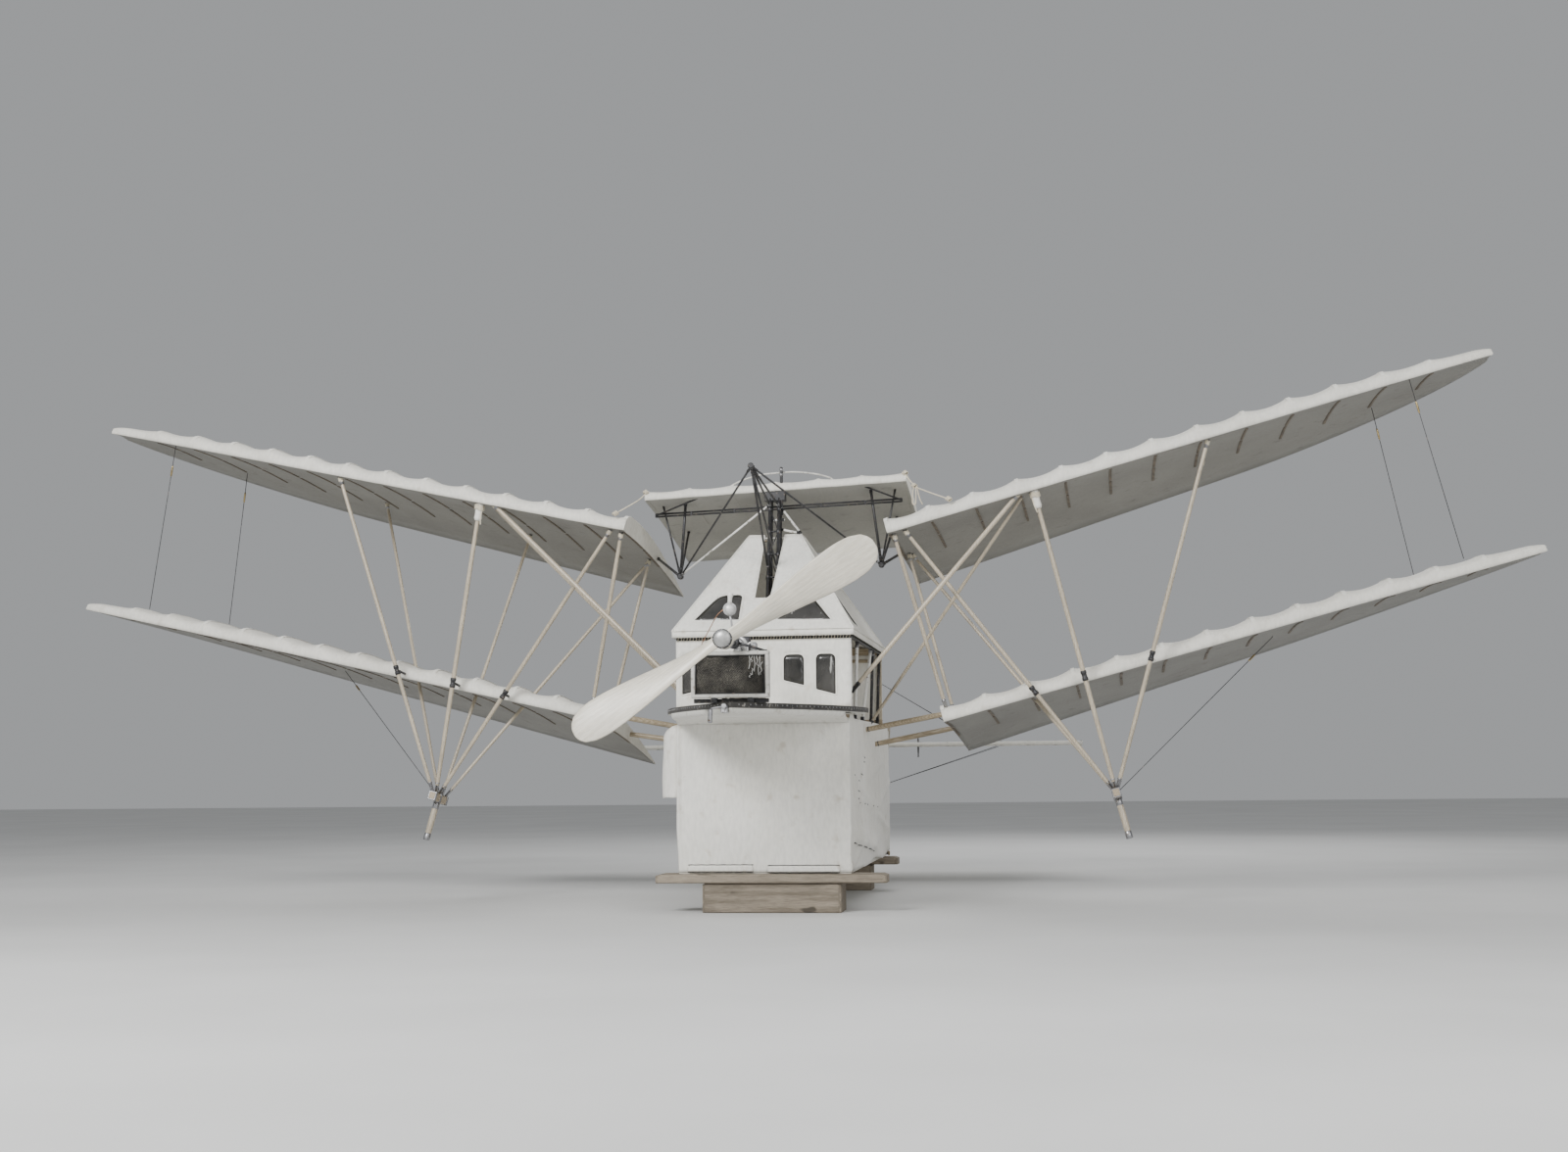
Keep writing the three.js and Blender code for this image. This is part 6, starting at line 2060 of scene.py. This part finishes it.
def add_engine():
    shape = Shape()
    e = ENGINE
    y0, y1 = e["front"], e["back"]
    sections = (
        (0.0, 0.075, 0.060), (0.012, 0.105, 0.0995), (0.10, 0.1175, 0.0995), (0.90, 0.1175, 0.0995),
        (0.985, 0.105, 0.0995), (1.0, 0.075, 0.060),
    )
    points = []
    for t, half, height in sections:
        y = y0 + (y1 - y0) * t
        for x, z in ((-1, 0.0), (-1, 0.55), (-0.86, 1), (0.86, 1), (1, 0.55), (1, 0.0)):
            points.append(Vector((x * half, y, e["bottom"] + 0.0006 + z * height)))
    middle = Vector((0, (y0 + y1) / 2, e["bottom"] + 0.05))
    faces = [outward(points, face, middle) for face in ringed_faces(len(sections), 6)]
    shape.add(points, faces, ALLOY, True)
    for y in (y0 + 0.085, y0 + 0.30, y1 - 0.10):
        for sign in (-1, 1):
            block(
                shape, (sign * 0.1175 - 0.012, y - 0.022, e["bottom"] + 0.0008),
                (sign * 0.1175, y + 0.022, e["bottom"] + 0.028), ALLOY, 0.003,
            )
            at = (sign * 0.104, y, e["bottom"] + 0.028)
            turned(shape, at, UP, ((0, 0.009), (0.007, 0.009)), BLACK, 6)
    pitch = (y1 - y0 - 0.210) / 3
    for k in range(4):
        y = y0 + 0.075 + k * pitch
        profile = [(0, 0.0575), (0.010, 0.0575), (0.012, 0.047)]
        z = 0.020
        while z < 0.130:
            profile += [(z, 0.047), (z, 0.0565), (z + 0.003, 0.0565), (z + 0.003, 0.047)]
            z += 0.0095
        profile += [
            (0.138, 0.047), (0.140, 0.0565), (0.160, 0.0565), (0.166, 0.050), (0.172, 0.030), (0.1745, 0.010),
        ]
        turned(shape, (0, y, e["top"] - 0.0005), UP, profile, IRON, 28)
        turned(
            shape, (-0.030, y, e["top"] + 0.150), (-0.4, 0, 1),
            ((0, 0.008), (0.012, 0.008), (0.013, 0.005), (0.026, 0.004)), BRASS, 10,
        )
        tube(shape, [(0.046, y, 2.010), (0.076, y, 2.010)], 0.016, IRON, 12)
        turned(shape, (0.044, y, 2.010), (1, 0, 0), ((0, 0.023), (0.005, 0.023)), IRON, 12)
    tube(shape, [(0.076, y0 + 0.030, 2.010), (0.076, y1 - 0.030, 2.010)], 0.0255, ALLOY, 20)
    block(shape, (-0.0595, -1.0345, e["top"] - 0.010), (0.0595, -0.9755, SHAFT + 0.0795), IRON, 0.010)
    block(
        shape, (-0.0615, y1 - 0.0695, e["top"] - 0.010), (0.0615, y1 - 0.0005, SHAFT + 0.0545), ALLOY, 0.012,
    )
    front, back = -1.260, -0.680
    length = back - front
    turned(shape, (0, front, SHAFT), AFT, (
        (0, 0.0265), (0, 0.0455), (0.010, 0.0455), (0.014, 0.036), (length * 0.38, 0.036),
        (length * 0.40, 0.0455), (length * 0.50, 0.0455), (length * 0.52, 0.036), (length - 0.014, 0.036),
        (length - 0.010, 0.0455), (length, 0.0455), (length, 0.010),
    ), ALLOY, 28)
    add_bolts(shape, 6, 0.0405, front + 0.0005, ((0, 0.0045), (0.0004, 0.0045)), BLACK)
    shape.place("engine_body", BODY, "cast_iron", ["engine"])


def add_bearers():
    shape = Shape()
    crosses = (-1.340, -1.000, -0.650)
    for sign in (-1, 1):
        x = sign * 0.100
        block(shape, (x - 0.0195, -1.3495, 1.7805), (x + 0.0195, -0.6005, 1.8295), SPRUCE_Y, 0.003)
        for y in crosses:
            block(shape, (x - 0.0192, y + 0.0005, DECK_TOP), (x + 0.0192, y + 0.0495, 1.7815), BLACK, 0.003)
            for dy in (0.012, 0.038):
                at = (x + sign * 0.0190, y + dy, 1.805)
                turned(shape, at, (sign, 0, 0), ((0, 0.006), (0.0007, 0.0055)), STEEL, 6)
    for y in crosses:
        block(shape, (-0.0810, y + 0.001, 1.7810), (0.0810, y + 0.049, 1.8170), BLACK, 0.003)
    shape.place("engine_frame", BODY, "dark_steel", ["engine_bearers"])


# Propeller: laminated blades through a bolted boss

PROP = {"y": -1.925, "radius": 1.359, "angle": 0.542, "boss": 0.076, "depth": 0.150, "shaft": 0.024}
BLADE = (
    # share of the radius, chord, pitch, thickness
    (0.0, 0.120, 0.90, 0.084), (0.1, 0.128, 0.85, 0.070), (0.25, 0.168, 0.66, 0.048),
    (0.45, 0.235, 0.46, 0.034), (0.65, 0.300, 0.34, 0.025), (0.8, 0.325, 0.28, 0.019),
    (0.9, 0.300, 0.25, 0.015), (0.96, 0.235, 0.24, 0.012), (0.99, 0.140, 0.23, 0.009),
    (1.0, 0.060, 0.23, 0.006),
)
BLADE_SECTION = (
    # across in chords, fore in thicknesses, round the section
    (-0.5, 0), (-0.478, 0.16), (-0.42, 0.35), (-0.32, 0.52), (-0.2, 0.62), (-0.05, 0.64), (0.1, 0.6),
    (0.24, 0.48), (0.36, 0.34), (0.46, 0.14), (0.5, 0), (0.46, -0.09), (0.36, -0.2), (0.24, -0.30),
    (0.1, -0.36), (-0.05, -0.39), (-0.2, -0.38), (-0.32, -0.32), (-0.42, -0.22), (-0.478, -0.11),
)


def blade_look():
    look = Look("laminated_blade", 0.34, Coat_Weight=0.35, Coat_Roughness=0.2)
    layers = look.wave(26, "Y", 2.2)
    base = look.ramp(layers, (0.30, (0.82, 0.775, 0.66)), (0.70, (0.765, 0.715, 0.595)))
    grain = look.node("ShaderNodeTexNoise", Vector=look.node(
        "ShaderNodeMapping", Vector=look.node(
            "ShaderNodeMapping", {"vector_type": "POINT"}, Vector=look.place, Rotation=(0, PROP["angle"], 0),
        ).outputs["Vector"], Scale=(0.05, 1, 1)).outputs["Vector"], Scale=170, Detail=4).outputs["Fac"]
    base = look.blend(base, look.grey(grain, 0.80, 1.0), 1.0, "MULTIPLY")
    worn = look.grey(look.noise(5, 6), 0.90, 1.0)
    look.color(look.blend(base, worn, 1.0, "MULTIPLY"))
    return look.bump((grain, 0.08, 0.0006))


def add_propeller():
    shape = Shape()
    hub = Vector((0, PROP["y"], SHAFT))
    shares = [1 - (1 - k / 44) ** 1.35 for k in range(45)]
    for turn in (0, math.pi):
        roll = PROP["angle"] + turn
        points = []
        for share in shares:
            chord, pitch, thick = (curve_value(BLADE, share, c) for c in (1, 2, 3))
            if share > 0.9:
                chord, thick = (
                    float(np.interp(share, [row[0] for row in BLADE], [row[c] for row in BLADE]))
                    for c in (1, 3)
                )
            out = share * (PROP["radius"] - 0.0005)
            for u, v in BLADE_SECTION:
                across = 0.992 * (u * chord * math.cos(pitch) - v * thick * math.sin(pitch))
                fore = 0.992 * (-u * chord * math.sin(pitch) - v * thick * math.cos(pitch))
                points.append(Vector((
                    out * math.cos(roll) - across * math.sin(roll), PROP["y"] + fore,
                    SHAFT + out * math.sin(roll) + across * math.cos(roll),
                )))
        tip = Vector((math.cos(roll), 0, math.sin(roll)))
        faces = []
        for face in ringed_faces(len(shares), len(BLADE_SECTION)):
            centre = sum((points[i] for i in face), Vector()) / len(face)
            inner = hub + tip * (centre - hub).dot(tip) * (1 if len(face) == 4 else 0.5)
            faces.append(outward(points, face, inner))
        shape.add(points, faces, BLADE_WOOD)
    front, back = PROP["y"] - 0.075, PROP["y"] + 0.075
    turned(
        shape, (0, front + 0.030, SHAFT), AFT,
        ((0, 0.060), (0.010, 0.0735), (0.030, 0.0755), (0.080, 0.0755), (0.098, 0.0735), (0.108, 0.060)),
        BLADE_WOOD, 36,
    )
    turned(
        shape, (0, front + 0.024, SHAFT), AFT,
        ((0, 0.060), (0, 0.0735), (0.003, 0.0757), (0.010, 0.0757), (0.012, 0.072)), BLACK, 40,
    )
    angles = [math.pi / 2 * k / 10 for k in range(11)]
    dome = [
        (0.0003 + 0.0262 * (1 - math.cos(angle)), max(0.003, 0.0665 * math.sin(angle)))
        for angle in angles
    ]
    turned(shape, (0, front, SHAFT), AFT, dome, BOSS_METAL, 40)
    add_bolts(shape, 8, 0.0705, front + 0.0245, ((0, 0.0045), (0.004, 0.0045), (0.005, 0.003)), STEEL)
    turned(
        shape, (0, back - 0.014, SHAFT), AFT,
        ((0, 0.060), (0.002, 0.0745), (0.010, 0.0745), (0.0135, 0.070), (0.0138, 0.030)), STEEL, 36,
    )
    tube(shape, [(0, back - 0.004, SHAFT), (0, -1.1105, SHAFT)], PROP["shaft"] - 0.0004, STEEL, 24)
    shape.place("propeller_blades", "propeller", "laminated_wood", ["propeller"])


# Cockpit seat

# Height that the seat stands on
SEAT_FLOOR = 0.9003


def add_seat():
    floor = SEAT_FLOOR
    shape = Shape()
    block(shape, (-0.518, 1.502, floor + 0.330), (0.518, 1.958, floor + 0.352), SPRUCE_X, 0.004)
    block(shape, (-0.518, 1.958, floor + 0.340), (0.518, 1.974, floor + 0.818), SPRUCE_X, 0.004)
    for x in (-0.50, 0.0, 0.50):
        block(shape, (x - 0.0195, 1.5205, floor), (x + 0.0195, 1.9595, floor + 0.334), SPRUCE, 0.003)
    shape.place("seat_frame", BODY, "spruce", ["seat"])
    pad = Shape()
    low, high = Vector((-0.505, 1.510, floor + 0.352)), Vector((0.505, 1.940, floor + 0.392))
    columns, lines, edge = 40, 18, 0.006
    top, under = [], []
    for r in range(lines + 1):
        for c in range(columns + 1):
            u, v = c / columns, r / lines
            x, y = low.x + (high.x - low.x) * u, low.y + (high.y - low.y) * v
            crown = (1 - (2 * u - 1) ** 8) * (1 - (2 * v - 1) ** 8)
            seam = min((u * 5) % 1, 1 - (u * 5) % 1) / 0.06
            sewn = 0.25 * math.exp(-seam ** 2) if 0.05 < u < 0.95 else 0
            top.append(Vector((x, y, low.z + edge + (high.z - low.z - edge) * crown * (1 - sewn))))
            under.append(Vector((x, y, low.z + 0.0003)))
    count, row = len(top), columns + 1
    faces = []
    for face in grid_faces(lines + 1, row):
        a, b, c = (top[i] for i in face[:3])
        faces.append(face if (b - a).cross(c - b).z > 0 else face[::-1])
    rim = list(range(row)) + [r * row + columns for r in range(1, lines + 1)]
    rim += [lines * row + c for c in range(columns - 1, -1, -1)] + [r * row for r in range(lines - 1, 0, -1)]
    sides = [(a + count, b + count, b, a) for a, b in zip(rim, rim[1:] + rim[:1])]
    below = [tuple(i + count for i in face[::-1]) for face in faces]
    pad.add(top + under, faces + below + sides, CANVAS)
    made = pad.place("seat_pad", BODY, "canvas")


def add_pylon_tubes():
    """Pale tubes at the roof's mouth, the strut to the left truss and the bent guide above the wing."""
    shape = Shape()
    for start, end, radius in (
        ((-0.042, 0.770, 3.580), (-0.922, 1.090, 2.990), 0.009),
        ((0.060, 0.790, 3.545), (0.236, 0.806, 3.306), 0.011),
        ((-0.045, 0.765, 3.432), (0.090, 0.765, 3.434), 0.011),
        ((0.045, 0.775, 3.352), (0.230, 0.797, 3.312), 0.010),
    ):
        tube(shape, [start, end], radius, POST_PAINT, 10)
        for at, other in ((start, end), (end, start)):
            socket(shape, Vector(at), Vector(other), radius + 0.003, BLACK, 0.035)
    guide = smooth_path([
        (-0.400, 0.830, 3.770), (-0.311, 0.830, 3.811), (-0.239, 0.830, 3.834), (-0.161, 0.830, 3.855),
        (-0.086, 0.830, 3.865), (0.031, 0.830, 3.872), (0.174, 0.830, 3.876), (0.326, 0.830, 3.859),
        (0.414, 0.830, 3.841), (0.494, 0.830, 3.815), (0.530, 0.830, 3.790),
    ], 5)
    tube(shape, guide, 0.0075, PALE_METAL, 10)
    shape.place("pylon_tubes", BODY, "dark_steel")


WRAP = ((0, 0.004), (0.010, 0.013), (0.060, 0.017), (0.120, 0.011), (0.165, 0.014), (0.190, 0.005))


def add_ties():
    """Rope from each end of the centre wing to the outer wing, and the cloth round a strut's head."""
    ropes, wraps = Shape(), Shape()
    for side, s in SIDES.items():
        sign = s["sign"]
        start = centre_point(sign * 1.165, 0.01, 0.080)
        end = wing_point(side, "upper", 0.30 if sign < 0 else 1.50, 0.0, 0.125)
        sag = 0.020 if sign < 0 else 0.060
        knot = start.lerp(end, 0.24) - Vector((0, 0, sag))
        rope = smooth_path([start, knot, start.lerp(end, 0.45) - Vector((0, 0, sag * 0.9)), end], 8)
        tube(ropes, rope, 0.0060, ROPE, 10)
        lashing(ropes, start + Vector((sign * 0.004, 0, 0)), end - start, 0.016, 3, ROPE, 0.006)
        lashing(ropes, end - (end - start).normalized() * 0.03, end - start, 0.014, 4, ROPE, 0.006)
        if sign > 0:
            lashing(ropes, knot + Vector((-0.012, 0, 0.006)), end - start, 0.013, 3, ROPE, 0.006)
            for hang in (
                (
                    (0, -0.012, 0), (-0.012, -0.016, -0.06), (-0.018, -0.016, -0.15),
                    (-0.004, -0.016, -0.175), (0.012, -0.016, -0.15), (0.014, -0.014, 0),
                ),
                ((0.022, -0.010, 0), (0.034, -0.014, -0.07), (0.050, -0.014, -0.13), (0.072, -0.012, -0.175)),
            ):
                tube(ropes, smooth_path([knot + Vector(step) for step in hang], 6), 0.0055, ROPE, 8)
        top, foot, radius = cell_struts(side)["front_strut_b"]
        along = (foot - top).normalized()
        turned(
            wraps, top + along * 0.030, along, [(t, radius + proud) for t, proud in WRAP], WHITE_CANVAS, 18,
        )
        lashing(wraps, top + along * 0.075, along, radius + 0.018, 4, ROPE, 0.006)
        tail = top + along * 0.10 + Vector((sign * -0.03, -0.02, 0))
        start = top + along * 0.08 + Vector((0, -0.03, 0))
        end = tail + along * 0.16 + Vector((0.01, 0, 0))
        tube(wraps, smooth_path([start, tail, tail + along * 0.09, end], 6), 0.0055, ROPE, 8)
    ropes.place("tie_ropes", BODY, "canvas")
    wraps.place("strut_wraps", BODY, "canvas")


BRIGHT = metal_look("bright_metal", (0.80, 0.80, 0.79), (0.66, 0.66, 0.65), 0.46, 0.55, (0.45, 0.43, 0.40))
PALE_METAL = metal_look(
    "pale_painted_metal", (0.62, 0.61, 0.57), (0.48, 0.47, 0.43), 0.5, 0.1, (0.26, 0.23, 0.19),
)
WHITE_METAL = metal_look(
    "enamelled_metal", (0.84, 0.83, 0.80), (0.74, 0.73, 0.69), 0.35, 0.0, (0.45, 0.42, 0.36),
)
BOSS_METAL = metal_look("spun_boss", (0.46, 0.46, 0.45), (0.33, 0.33, 0.32), 0.42, 0.5, (0.22, 0.21, 0.19))
SOLDER = metal_look("solder", (0.70, 0.70, 0.67), (0.46, 0.45, 0.43), 0.5, 0.3)
DECK_PLANKS = planks_look()
DECK_EDGE = deck_edge_look()
# A darker copy of the canvas for the foredeck's underside and the skirt below it: painted shade under the
# deck.
SHADED_UNDER_CANVAS = fabric_look(
    "under_deck_canvas_painted_shade", (0.80, 0.785, 0.73), (0.68, 0.66, 0.60), (0.50, 0.465, 0.40), 520,
)
SHADED_CELLULOID = celluloid_look()
# Dark matte panes for the roof's side windows: painted shade of the cabin inside.
SHADE_PANE = metal_look("dull_pane_painted_shade", (0.060, 0.058, 0.055), (0.035, 0.034, 0.032), 0.9, 0.0)
BLADE_WOOD = blade_look()

for step in (
    add_roof, add_cabin_front, add_cabin_rear, add_cover, add_flap, add_foredeck, add_skirt, add_crank,
    add_radiator, add_header_tank, add_engine, add_bearers, add_propeller, add_seat, add_pylon_tubes,
    add_ties,
):
    step()
wear("deck_beams", SPRUCE_Y)


def add_floor():
    bpy.ops.mesh.primitive_plane_add(size=90, location=(0, 8, 0))
    floor = bpy.context.object
    floor.name = "floor"
    floor.data.materials.append(floor_look())


add_floor()
